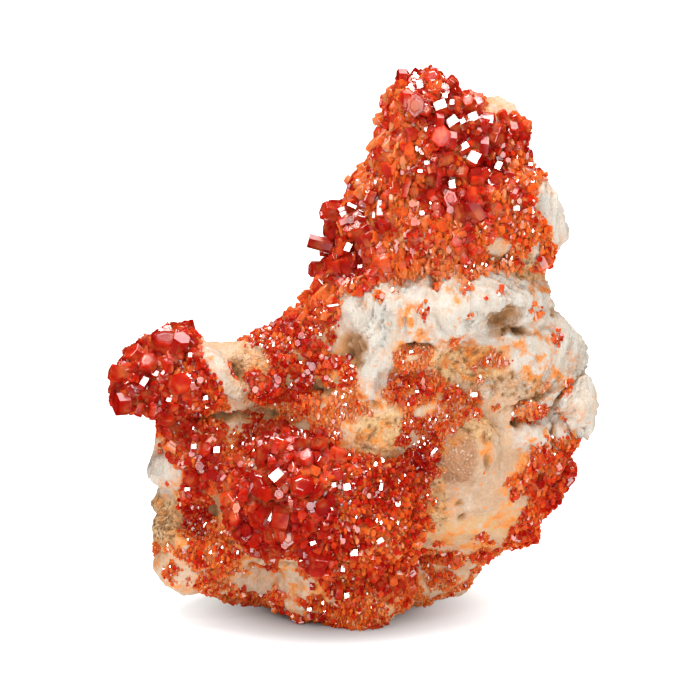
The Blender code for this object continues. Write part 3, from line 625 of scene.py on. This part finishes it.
def throwSeeds(spots, sizes, packing, taken):
    # keeps each spot, largest first, that none kept or taken crowds: no two closer than their radii times packing
    cell = 1.6  # in mm, more than any two may need
    grid, kept = {}, []
    for ball in taken:
        grid.setdefault(tuple(int(part // cell) for part in ball[:3]), []).append(ball)
    for i in np.argsort(-sizes, kind="stable"):
        x, y, z = spots[i]
        r, pack = sizes[i], packing[i]
        a, b, c = int(x // cell), int(y // cell), int(z // cell)
        homes = itertools.product((a - 1, a, a + 1), (b - 1, b, b + 1), (c - 1, c, c + 1))
        beside = itertools.chain.from_iterable(grid.get(home, ()) for home in homes)
        crowd = ((x - p) ** 2 + (y - q) ** 2 + (z - s) ** 2 < (pack * (r + size)) ** 2 for p, q, s, size in beside)
        if not any(crowd):
            grid.setdefault((a, b, c), []).append((x, y, z, r))
            kept.append(i)
    return np.array(kept, int)


def crystalSet(seats, axes, sizes, stands, shades, spins, rng, kind):
    # prisms of one kind: small with plain ends, large with a bevel and a sunk or raised middle to the end face,
    # and mirrors, which stay regular so that their sides keep their directions
    count = len(seats)
    one = np.ones(count)
    # glow is each ring's level, from 0 at the foot to 1 at the top edge; the lower levels get dust and a painted
    # shade
    if kind == "large":
        bevel = np.minimum(0.12 * sizes, 0.11)
        dip = np.where(rng.random(count) < 0.25, -0.25, rng.uniform(-0.02, 0.05, count)) * sizes
        waist = rng.uniform(0.96, 1.03, count)
        rings = [(0.9, -sizes * 0.8 - 0.25), (waist, stands * 0.25), (one, stands - bevel)]
        rings += [(one - bevel / sizes, stands), (0.62, stands), (0.5, stands + dip)]
        glow = [0.0, 0.25, 0.8, 1.0, 0.55, 0.35]
    else:
        rings = [(1.0, -0.02) if kind == "mirror" else (0.9, -sizes * 0.8 - 0.25), (1.0, stands)]
        glow = [0.0, 1.0]
    rings = np.stack([np.stack([one * radius, one * rise], 1) for radius, rise in rings], axis=1)
    squash = rng.uniform(0.74, 1.0, count) - 0.42 * smoothStep(0.3, 0.6, shades)
    uneven = rng.uniform(0.86, 1.08, (count, 6))
    if kind == "mirror":
        squash, uneven = one, np.ones((count, 6))
    points, quads, caps = prisms(seats, axes, spins, sizes, rings, squash, uneven)
    return points, quads, caps, np.repeat(np.clip(shades, 0, 1.2), len(glow) * 6), np.tile(np.repeat(glow, 6), count)


def gather(parts):
    # several meshes as one: points, quads and caps with their numbers shifted, shade and level
    starts = np.cumsum([0] + [len(part[0]) for part in parts])
    shifted = [(p, q + start, c + start, s, v) for (p, q, c, s, v), start in zip(parts, starts)]
    return [np.concatenate(column) for column in zip(*shifted)]


def crustPatch(stone, thick, mine):
    # the stone's own faces under one piece, lifted by the crust's thickness, closed by the same faces further in
    points, quads, normals = stone
    look = crustLook
    chosen = quads[(thick[quads] > look["least"]).any(axis=1) & mine[quads[:, 0]]]
    used = np.unique(chosen)
    uneven = look["uneven"] * rough(points[used], 1.0, 2, 80) * smoothStep(0.2, 1.0, thick[used])
    lift = thick[used] - look["under"] + uneven
    renumber = np.full(len(points), -1)
    renumber[used] = np.arange(len(used))
    outer = renumber[chosen]
    inner = outer[:, ::-1] + len(used)
    ends = np.stack([outer.ravel(), np.roll(outer, -1, axis=1).ravel()], axis=1)
    _, first, times = np.unique(np.sort(ends, axis=1), axis=0, return_index=True, return_counts=True)
    rim = ends[first[times == 1]]
    wall = np.stack([rim[:, 1], rim[:, 0], rim[:, 0] + len(used), rim[:, 1] + len(used)], axis=1)
    low = points[used] - normals[used] * look["buried"]
    shell = np.concatenate([points[used] + normals[used] * lift[:, None], low])
    return shell, np.concatenate([outer, inner, wall]), len(outer), used


def seatOf(view, x, y, reach=0.8):
    # of the points in view within reach of a place, in mm, the foremost, or else the point nearest to the place
    away = np.hypot(view[0] - x, view[1] - y)
    close = np.where(away < reach, view[2], -far)
    return close.argmax() if close.max() > -far else away.argmin()


def seatedOn(lifted, crusted, places):
    # the point of the stone under the crust that each place of the front view falls on
    view = seenAt(lifted[crusted])
    return np.flatnonzero(crusted)[[seatOf(view, *place[:2]) for place in places]]


def flashCrystals(shell, normals, depths, places):
    # crystals placed so that one side of each mirrors a lamp to the front view: that face's normal lies halfway
    # between the direction of the viewer and the direction of the lamp; returns the faces and half-widths too
    view = seenAt(shell)
    right = np.array([1.0, 0.0, 0.0])
    up = np.cross(toViewer, right)
    eye = aim + toViewer * studio["distance"] / mm
    rows = []
    for x, y, along, wide, roll, lamp in places:
        spot = seatOf(view, x, y, 0.7)
        seat, radius = shell[spot], wide * 0.72  # a little wider than the side that flashes
        half = unit(unit(eye - seat) + unit(np.array(studio["lights"][lamp][0]) / mm - seat))
        level = unit(right - half * (right @ half))
        turn = math.radians(roll)
        axis = level * math.cos(turn) + np.cross(half, level) * math.sin(turn)
        if axis @ normals[spot] < 0:
            axis = -axis
        out = min(1.2, 0.8 * depths[spot]) + radius * 0.35  # no higher than a thin crust can hold
        face = seat + (x - view[0][spot]) * right + (y - view[1][spot]) * up + toViewer * out
        middle = face - half * radius * 0.866 - axis * along * 0.5  # from the side to the axis, and to its foot
        side, top = crossways(axis)
        spin = math.atan2(half @ top, half @ side) + math.pi / 6
        rows.append((middle, axis, radius, along, spin, face, 0.5 * math.hypot(along, radius)))
    return [np.array(column) for column in zip(*rows)]


def standingCrystals(shell, places):
    # crystals seated where the front view's line through their place meets the patch
    view = seenAt(shell)
    rows = []
    for x, y, radius, tall, axis in places:
        axis = unit(np.array(axis))
        rows.append((shell[seatOf(view, x, y)] + axis * 0.15 * radius, axis, radius * 0.86, tall * 1.15))
    return [np.array(column) for column in zip(*rows)]


def covering(tips, sizes, faces, halves):
    # whether a crystal's tip stands before one of the mirroring faces in the front view
    across, height, depth = seenAt(tips)
    over = np.zeros(len(tips), bool)
    for face, half in zip(faces, halves):
        x, y, near = seenAt(face[None])
        over |= (np.hypot(across - x, height - y) < half + sizes * 0.9) & (depth + sizes * 0.5 > near - 0.1)
    return over


def buildCrust(name, node, mine, stone, thick, seated, finish, seed):
    # a lifted patch of the stone, covered with prisms, the largest seated first and the gaps filled with small ones
    rng = np.random.default_rng(seed)
    look = crustLook
    shell, shellQuads, outerCount, used = crustPatch(stone, thick, mine)
    outer = shellQuads[:outerCount]
    shellNormals = quadNormals(shell, outer)
    corners = shell[outer]
    area = 0.5 * np.linalg.norm(np.cross(corners[:, 2] - corners[:, 0], corners[:, 3] - corners[:, 1]), axis=1)
    cover = thick[used][outer].mean(axis=1)
    weight = area * smoothStep(0.12, 0.6, cover)
    count = int(weight.sum() * look["tries"])
    faces = rng.choice(len(outer), count, p=weight / weight.sum())
    u, v = rng.random((2, count, 1))
    c = corners[faces]
    spots = (c[:, 0] * (1 - u) + c[:, 1] * u) * (1 - v) + (c[:, 3] * (1 - u) + c[:, 2] * u) * v
    normals = unit(shellNormals[outer[faces]].mean(axis=1))
    across, height = frontPlace(spots)
    across = across + look["wander"] * rough(spots, 4.0, 2, 50)
    height = height + look["wander"] * rough(spots, 4.0, 2, 55)
    values = zoneValues(across, height)
    low, high = values[:, 0], values[:, 1]
    edge = smoothStep(0.2, 1.5, cover[faces])
    bunch = smoothStep(-0.5, 0.6, rough(spots, 4.5, 2, 58))
    sizes = low + (high - low) * rng.random(count) ** 2.2 * (0.3 + 0.7 * edge) * (0.45 + 0.55 * bunch)
    sizes = np.where(rng.random(count) < look["fine"], low * rng.uniform(0.7, 1.2, count), sizes)

    tall, heroes = ([place for place, seat in pairs if mine[seat]] for pairs in seated)
    taken = []
    if tall:
        tall = standingCrystals(shell[: len(used)], tall)
        taken = [(*spot, size) for spot, size in zip(tall[0] + tall[1] * 0.3, tall[2] * 1.1)]
    if heroes:
        heroes = flashCrystals(shell[: len(used)], shellNormals[: len(used)], thick[used], heroes)
        taken += [(*spot, size) for spot, size in zip(heroes[0], heroes[2] * 1.2)]
    kept = throwSeeds(spots, sizes, values[:, 5], taken)
    spots, normals, sizes, values, edge = (item[kept] for item in (spots, normals, sizes, values, edge))
    count = len(kept)
    lean = values[:, 3:4] * rng.uniform(0.2, 1.5, (count, 1))
    axes = unit(normals + unit(rng.normal(size=(count, 3))) * lean)
    stands = np.minimum(sizes * values[:, 4] * rng.uniform(0.5, 1.7, count), 0.9 + 0.7 * sizes)
    shades = values[:, 2] + 0.3 * (1.0 - edge) + rng.normal(0, 0.2, count)
    spins = rng.uniform(0, math.pi, count)

    # a few small ones face the way that mirrors the key lamp to the front
    half = unit(toViewer + unit(np.array(studio["lights"]["key"][0]) / mm - spots))
    fleck = (rng.random(count) < look["flecks"]) & (sizes < 0.45) & ((half * normals).sum(axis=1) > 0.35)
    axes = np.where(fleck[:, None], unit(half + 0.01 * rng.normal(size=axes.shape)), axes)
    stands = np.where(fleck, stands * 1.3, stands)
    shades = np.where(fleck, 0.5, shades)

    # beside each large crystal stand lower ones with the same axis
    crystals = [spots, axes, sizes, stands, shades, spins]
    twin = np.repeat(np.flatnonzero(sizes > look["paired"]), 2)
    count = len(twin)
    spots, axes, sizes, stands, shades, spins = (item[twin] for item in crystals)
    aside = unit(np.cross(axes, rng.normal(size=(count, 3))))
    shrink = rng.uniform(0.4, 0.75, count)
    spots = spots + aside * (sizes * rng.uniform(0.7, 1.1, count))[:, None]
    stands = stands * rng.uniform(0.5, 1.0, count)
    shades = shades + rng.normal(0, 0.05, count)
    beside = [spots, axes, sizes * shrink, stands, shades, spins]
    crystals = [np.concatenate(pair) for pair in zip(crystals, beside)]

    shown = crystals[0][:, 2] > look["lowest"]
    if heroes:
        shown &= ~covering(crystals[0] + crystals[1] * crystals[3][:, None], crystals[2], *heroes[5:])
    crystals = [item[shown] for item in crystals]
    large = crystals[2] > look["bevelled"]
    parts = []
    for kind, pick in (("large", large), ("small", ~large)):
        if pick.any():
            parts.append(crystalSet(*(item[pick] for item in crystals), rng, kind))
    if tall:
        shade = rng.uniform(-0.05, 0.22, len(tall[0]))
        parts.append(crystalSet(*tall, shade, rng.uniform(0, math.pi, len(shade)), rng, "large"))
    if heroes:
        shade = np.full(len(heroes[0]), 0.08)
        parts.append(crystalSet(*heroes[:4], shade, heroes[4], rng, "mirror"))
    points, quads, caps, shade, level = gather(parts)
    points[:, 2] = np.maximum(points[:, 2], 0.0)
    values = {
        "tone": np.concatenate([shade, zoneValues(*frontPlace(shell))[:, 2]]),
        # the patch between the crystals counts as low down, for the dust and the painted shade there
        "level": np.concatenate([level, np.full(len(shell), 0.15)]),
    }
    polygons = [quads, caps, shellQuads + len(points)]
    piece = meshObject(name, np.concatenate([points, shell]), polygons, [False, False, True], values)
    piece.data.materials.append(finish)
    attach(piece, "root")
    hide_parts(node)
    triangles = 2 * len(quads) + 4 * len(caps) + 2 * len(shellQuads)
    say(f"{name}: {len(crystals[0])} crystals, {triangles} triangles")


def spreadCrust(points, quads, normals, thick, white):
    # the thickness of the CAD's crusts, lowered to leave room for the crystals that stand on them, trimmed, then
    # run out thin or laid bare through a speckle; and how strong the orange stain is, near the crusts and on dust
    look = crustLook
    across, height = frontPlace(points)
    facing = inView(points, quads, normals, -0.2)
    stray = [look["stray"] * rough(points, 2.6, 3, seed) for seed in (90, 95)]
    placed = (across + stray[0], height + stray[1])
    speckle = np.clip(0.5 + 0.62 * rough(points, 2.4, 4, 120), 0.0, 1.0)
    thin = mostOf(*placed, crustReach["thin"], 0.3, 1.0 - speckle) * facing
    bare = mostOf(*placed, crustReach["bare"], 0.25, speckle) * facing
    thick = np.minimum(thick, look["deepest"]) - look["room"] * smoothStep(0.8, 2.2, thick)
    outerPlace = frontPlace(points + normals * thick[:, None])
    for spot in crustReach["trim"].values():
        thick += spot[4] * spotted(*outerPlace, spot, 0.6) * smoothStep(0.1, 0.5, thick)
    thick = averaged(np.maximum(thick, look["thin"] * thin) * (1.0 - bare), quads, 3)
    near = averaged(smoothStep(0.15, 0.6, thick), quads, 60, 0.9)
    dust = mostOf(*placed, crustReach["dust"], 0.5) * facing
    return thick, np.clip(near * (2.4 - 1.1 * white) * (0.3 + 0.7 * facing) + dust, 0.0, 1.0)


class Wire:
    # a shader socket that can be added, multiplied and so on with numbers and other sockets
    def __init__(self, tree, socket):
        self.tree = tree
        self.socket = socket

    def calculate(self, operation, *items):
        made = self.tree.nodes.new("ShaderNodeMath")
        made.operation = operation
        for slot, item in zip(made.inputs, items):
            plug(self.tree, slot, item)
        return Wire(self.tree, made.outputs[0])

    def __add__(self, other):
        return self.calculate("ADD", self, other)

    def __radd__(self, other):
        return self.calculate("ADD", other, self)

    def __sub__(self, other):
        return self.calculate("SUBTRACT", self, other)

    def __rsub__(self, other):
        return self.calculate("SUBTRACT", other, self)

    def __mul__(self, other):
        return self.calculate("MULTIPLY", self, other)

    def __rmul__(self, other):
        return self.calculate("MULTIPLY", other, self)

    def __truediv__(self, other):
        return self.calculate("DIVIDE", self, other)

    def held(self):
        # no less than 0 and no more than 1
        return self.calculate("MINIMUM", self.calculate("MAXIMUM", self, 0.0), 1.0)

    def between(self, low, high):
        # 0 at low and 1 at high, a straight line between, held beyond
        return ((self - low) / (high - low)).held()


def plug(tree, slot, item):
    # a link to a wire, or else a plain value, in a node's socket
    if isinstance(item, Wire):
        tree.links.new(item.socket, slot)
    else:
        slot.default_value = item


class Finish:
    # a material with one Principled shader, and a method for every other node
    def __init__(self, name, look):
        self.look = look
        self.material = bpy.data.materials.new(name)
        self.material.use_nodes = True
        self.tree = self.material.node_tree
        self.shader = self.tree.nodes["Principled BSDF"]
        for key, value in look["constants"].items():
            self.shader.inputs[key].default_value = value
        self.place = self.node("ShaderNodeTexCoord", {}, {}, "Object")
        self.colour = None

    def node(self, kind, settings, sockets, out=0):
        made = self.tree.nodes.new(kind)
        for key, value in settings.items():
            setattr(made, key, value)
        for key, item in sockets.items():
            plug(self.tree, made.inputs[key], item)
        return Wire(self.tree, made.outputs[out])

    def values(self, *names):
        return [self.node("ShaderNodeAttribute", {"attribute_name": name}, {}, "Fac") for name in names]

    def mottle(self, size, detail=3.0, rough=0.55, stretch=None, turn=(0.0, 0.0, 0.0)):
        # noise from 0 to 1 with features of this size in mm, drawn out along the axes with the smaller stretch
        place = self.place
        if stretch:
            place = self.node("ShaderNodeMapping", {}, {"Vector": place, "Rotation": turn, "Scale": stretch})
        sockets = {"Vector": place, "Scale": 1000.0 / size, "Detail": detail, "Roughness": rough}
        return self.node("ShaderNodeTexNoise", {}, sockets)

    def cells(self, size):
        # distance to the nearest of the points of cells this size in mm
        return self.node("ShaderNodeTexVoronoi", {}, {"Vector": self.place, "Scale": 1000.0 / size}, "Distance")

    def blend(self, share, first, second):
        # the first colour, turned to the second by a share from 0 to 1; each is a wire or named in the look
        first, second = ((*self.look[item], 1.0) if isinstance(item, str) else item for item in (first, second))
        return self.node("ShaderNodeMix", {"data_type": "RGBA"}, {0: share, 6: first, 7: second}, 2)

    def coat(self, share, colour):
        # lays a colour over those before it, by a share from 0 to 1
        self.colour = self.blend(share, self.colour, colour)

    def feed(self, key, item):
        plug(self.tree, self.shader.inputs[key], item)

    def bump(self, height, distance):
        self.feed("Normal", self.node("ShaderNodeBump", {}, {"Height": height, "Distance": distance * mm}))


vanadiniteFinish = {
    "deep": (0.32, 0.004, 0.002),
    "red": (0.60, 0.022, 0.006),
    "orange": (0.86, 0.165, 0.02),
    "pale": (0.84, 0.34, 0.15),
    "dust": (0.70, 0.20, 0.045),
    "constants": {
        "IOR": 2.2,
        "Subsurface Weight": 0.45,
        "Subsurface Radius": (1.0, 0.25, 0.10),
        "Subsurface Scale": 0.0014,
    },
}


def makeVanadinite():
    # deep red to pale orange by each crystal's tone with noise, then dust and a deep red painted shade low down
    # between the crystals
    finish = Finish("vanadinite", vanadiniteFinish)
    tone, level = finish.values("tone", "level")
    wide = finish.mottle(7.0, 2.0).between(0.38, 0.66)
    warm = (tone * 1.1 + (finish.mottle(1.6, 2.0) - 0.5) * 0.6 + (wide - 0.4) * 0.3).held()
    low = (1.0 - level).held()
    finish.colour = "deep"
    finish.coat(warm.between(0.0, 0.35), "red")
    finish.coat(warm.between(0.3, 0.75), "orange")
    finish.coat(warm.between(0.75, 1.15), "pale")
    finish.coat(low * finish.mottle(2.6, 3.0).between(0.46, 0.62) * 0.75, "dust")
    # painted shade: deep red low down between the crystals and in the sunk middles of their ends
    finish.coat(low * finish.mottle(1.9, 2.0).between(0.6, 0.45) * 0.4, "deep")
    finish.feed("Base Color", finish.colour)
    finish.feed("Roughness", 0.05 + warm * 0.1 + low * 0.22)
    finish.bump(finish.mottle(0.6, 2.0) * 0.5, 0.02)
    return finish.material


baryteFinish = {
    "white": (0.67, 0.635, 0.57),
    "shade": (0.66, 0.52, 0.40),
    "cream": (0.70, 0.48, 0.32),
    "tan": (0.70, 0.45, 0.27),
    "yellow": (0.88, 0.57, 0.27),
    "pink": (0.68, 0.32, 0.17),
    # brown is also the colour of the painted shade in hollows
    "brown": (0.40, 0.21, 0.10),
    "stain": (0.82, 0.29, 0.06),
    "red": (0.55, 0.07, 0.015),
    "rust": (0.52, 0.26, 0.10),
    # the colour of the painted shade in pits, holes and pores
    "paintedShade": (0.13, 0.06, 0.025),
    "crumb": (0.92, 0.68, 0.50),
    "constants": {"IOR": 1.5, "Specular IOR Level": 0.3},
}


def makeBaryte():
    # base tones by the stone's own shares, then streaks, crumbs and stains from noises of a few sizes, with painted
    # shade in folds, hollows, pits and pores
    finish = Finish("baryte", baryteFinish)
    fine = finish.mottle(1.5, 5.0, 0.68)
    crumb = finish.mottle(0.5, 3.0, 0.7)
    patchy = finish.mottle(2.6, 5.0, 0.68)
    fibre = finish.mottle(0.75, 3.0, 0.65, (1.0, 0.8, 0.16), (0.0, 0.35, 0.0))
    fold = finish.mottle(3.2, 2.0, 0.5, (1.0, 0.8, 0.3), (0.0, 0.5, 0.0))
    grain, hole = finish.cells(0.6), finish.cells(0.8)
    white, cream, yellow, pink, brown = finish.values("white", "cream", "yellow", "pink", "brown")
    porous, hollowShade, paintedShade, stain = finish.values("porous", "hollowShade", "paintedShade", "stain")

    finish.colour = "cream"
    finish.coat(finish.mottle(9.0, 3.0).between(0.38, 0.62), "tan")
    finish.coat((cream + (fine - 0.5) * 1.4).held() * 0.85, "cream")
    finish.coat(fibre.between(0.5, 0.62) * 0.45, "white")
    # the white takes its shade colour in folds and between fibres, where the bump sinks: painted shade in the creases
    folded = (fibre.between(0.56, 0.36) * 0.6 + fold.between(0.55, 0.35) * 0.5).held()
    finish.coat((white * 1.4 + (fine - 0.5) * 1.2).held(), finish.blend(folded, "white", "shade"))
    finish.coat(porous * fine.between(0.62, 0.4), "tan")
    finish.coat((pink * 0.9 + (crumb - 0.5) * 0.6).held() * pink, "pink")
    finish.coat(yellow * fine.between(0.36, 0.56), "yellow")
    finish.coat(brown * fine.between(0.25, 0.55) * 0.9, "brown")
    finish.coat(crumb.between(0.5, 0.34) * (0.24 - 0.2 * white + 0.3 * porous).held(), "brown")
    finish.coat(pink * grain.between(0.42, 0.2) * fine.between(0.4, 0.6), "crumb")
    finish.coat(pink * grain.between(0.45, 0.8) * 0.4, "brown")
    # in porous brown stone the cell walls go yellow and the pores near black: the pores' black is painted shade
    finish.coat(porous * brown * hole.between(0.4, 0.6) * 0.6, "yellow")
    finish.coat(porous * brown * hole.between(0.42, 0.25) * 0.85, "paintedShade")
    finish.coat(grain.between(0.3, 0.75) * porous * 0.25, "rust")
    finish.coat(finish.mottle(1.3, 2.0).between(0.66, 0.70) * 0.7, "stain")
    finish.coat(stain * patchy.between(0.47, 0.58), "stain")
    finish.coat((stain * patchy.between(0.60, 0.68) * crumb.between(0.4, 0.55)).held(), "red")
    # hollows turn brown: painted shade, weaker on the white
    finish.coat(hollowShade * (0.18 + 0.42 * fine) * (1.0 - 0.6 * white), "brown")
    # pits and holes turn rust brown, partly their own staining and partly painted shade, then near black as painted
    # shade
    finish.coat(paintedShade.between(0.05, 0.5) * 0.9, "rust")
    finish.coat(paintedShade.between(0.35, 1.1) * (0.55 + 0.9 * crumb).held(), "paintedShade")
    finish.feed("Base Color", finish.colour)
    finish.feed("Roughness", 0.5 + 0.35 * fine - 0.12 * white)
    height = fine + 0.55 * crumb + white * (0.9 * fibre + 0.8 * fold) + cream * (0.5 * fibre + 0.5 * fold)
    height = height + porous * (0.8 * finish.cells(0.9) + 0.7 * finish.cells(0.5))
    finish.bump(height - pink * (1.2 * grain - 0.8 * crumb), 0.55)
    return finish.material


# The floor's emission is painted light that stands in for lamps, and fades to black near the foot as a painted
# contact shadow
paperFinish = {
    "paintedShade": (0.0, 0.0, 0.0),
    "glow": (1.0, 1.0, 1.0),
    "constants": {
        "Base Color": (0.40, 0.40, 0.40, 1.0),
        "Roughness": 0.9,
        "Specular IOR Level": 0.1,
        "Emission Strength": 1.0,
    },
}

studio = {
    "distance": 1.2,  # from the camera to the specimen, in metres, as all of these are
    "frameWidth": 0.112,  # what the picture spans at the specimen
    "floorHalf": 6.0,
    "foot": (-0.002, 0.001, 0.0),  # the middle of where the stone touches the floor
    "footShade": (0.010, 0.030),  # how far from it the glow begins and is whole; nearer, the dark floor is a painted contact shadow
    "middle": (0.0, 0.0, 0.045),  # what the lamps face
    "world": (0.27, 0.27, 0.27, 1.0),
    "lights": {
        # place, size, watts, colour, whether it shows in the gloss
        "key": ((-0.42, -0.80, 1.05), 0.20, 3.0, (1.0, 0.985, 0.96), True),
        "soft": ((-0.06, 0.02, 1.40), 0.7, 19.0, (1.0, 0.99, 0.98), True),
        "top": ((0.30, 0.45, 1.10), 0.7, 4.5, (1.0, 1.0, 1.0), True),
        "right": ((1.25, -0.50, 0.60), 0.7, 5.5, (1.0, 0.97, 0.93), False),
        "left": ((-1.0, -0.9, 0.60), 0.7, 3.9, (1.0, 0.99, 0.98), False),
        "front": ((0.0, -1.5, 0.50), 1.0, 9.0, (1.0, 1.0, 1.0), True),
    },
}


def buildStudio():
    # a pale floor that glows away from the specimen, its glow painted light and its dark ring round the foot a
    # painted contact shadow, a dim world, the lamps and the camera
    mesh = bpy.data.meshes.new("floor")
    half = studio["floorHalf"]
    mesh.from_pydata([(-half, -half, 0), (half, -half, 0), (half, half, 0), (-half, half, 0)], [], [(0, 1, 2, 3)])
    floor = linked("floor", mesh)
    paper = Finish("paleFloor", paperFinish)
    away = paper.node("ShaderNodeVectorMath", {"operation": "DISTANCE"}, {0: paper.place, 1: studio["foot"]}, "Value")
    # the floor's emission: black near the foot as a painted contact shadow, white further out as painted light
    paper.feed("Emission Color", paper.blend(away.between(*studio["footShade"]), "paintedShade", "glow"))
    mesh.materials.append(paper.material)
    floor.visible_glossy = False

    scene = bpy.context.scene
    scene.world = bpy.data.worlds.new("studio")
    scene.world.use_nodes = True
    scene.world.node_tree.nodes["Background"].inputs[0].default_value = studio["world"]
    scene.world.cycles_visibility.glossy = False
    for name, (place, size, watts, colour, glossy) in studio["lights"].items():
        lamp = bpy.data.lights.new(name, "AREA")
        lamp.shape = "SQUARE"
        lamp.size = size
        lamp.energy = watts
        lamp.color = colour
        held = linked(name, lamp)
        held.location = place
        held.rotation_euler = (Vector(place) - Vector(studio["middle"])).to_track_quat("Z", "Y").to_euler()
        held.visible_glossy = glossy

    camera = bpy.data.cameras.new("camera")
    camera.sensor_width = 36.0
    camera.lens = camera.sensor_width * studio["distance"] / studio["frameWidth"]
    holder = linked("camera", camera)
    holder.location = Vector(aim * mm) + Vector(toViewer) * studio["distance"]
    holder.rotation_euler = Vector(toViewer).to_track_quat("Z", "Y").to_euler()
    scene.camera = holder
    scene.view_settings.view_transform = "Standard"


points, quads, normals, tone = stoneSurface()
say(f"stone surface: {len(quads) * 2} triangles")
thick, owner = crustThickness(points, quads, normals)
say("crust thickness read")
thick, tone["stain"] = spreadCrust(points, quads, normals, thick, tone["white"])

crusted = (thick > 0.3) & (normals @ toViewer > -0.1)
lifted = points + normals * thick[:, None]
seated = [list(zip(places, seatedOn(lifted, crusted, places))) for places in (standing, flashes)]
vanadinite = makeVanadinite()
x, z = points[:, 0], points[:, 2]
for seed, (name, (node, low, high, bottom, top)) in enumerate(crustPieces.items(), 100):
    mine = (owner == crusts.index(node)) & (x >= low) & (x < high) & (z >= bottom) & (z < top)
    buildCrust(name, node, mine, (points, quads, normals), thick, seated, vanadinite, seed)

stonePiece = meshObject("stone", points, [quads], [True], tone)
stonePiece.data.materials.append(makeBaryte())
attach(stonePiece, "root")
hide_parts("matrix")
say("stone finished")

buildStudio()
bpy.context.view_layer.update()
say("scene finished")
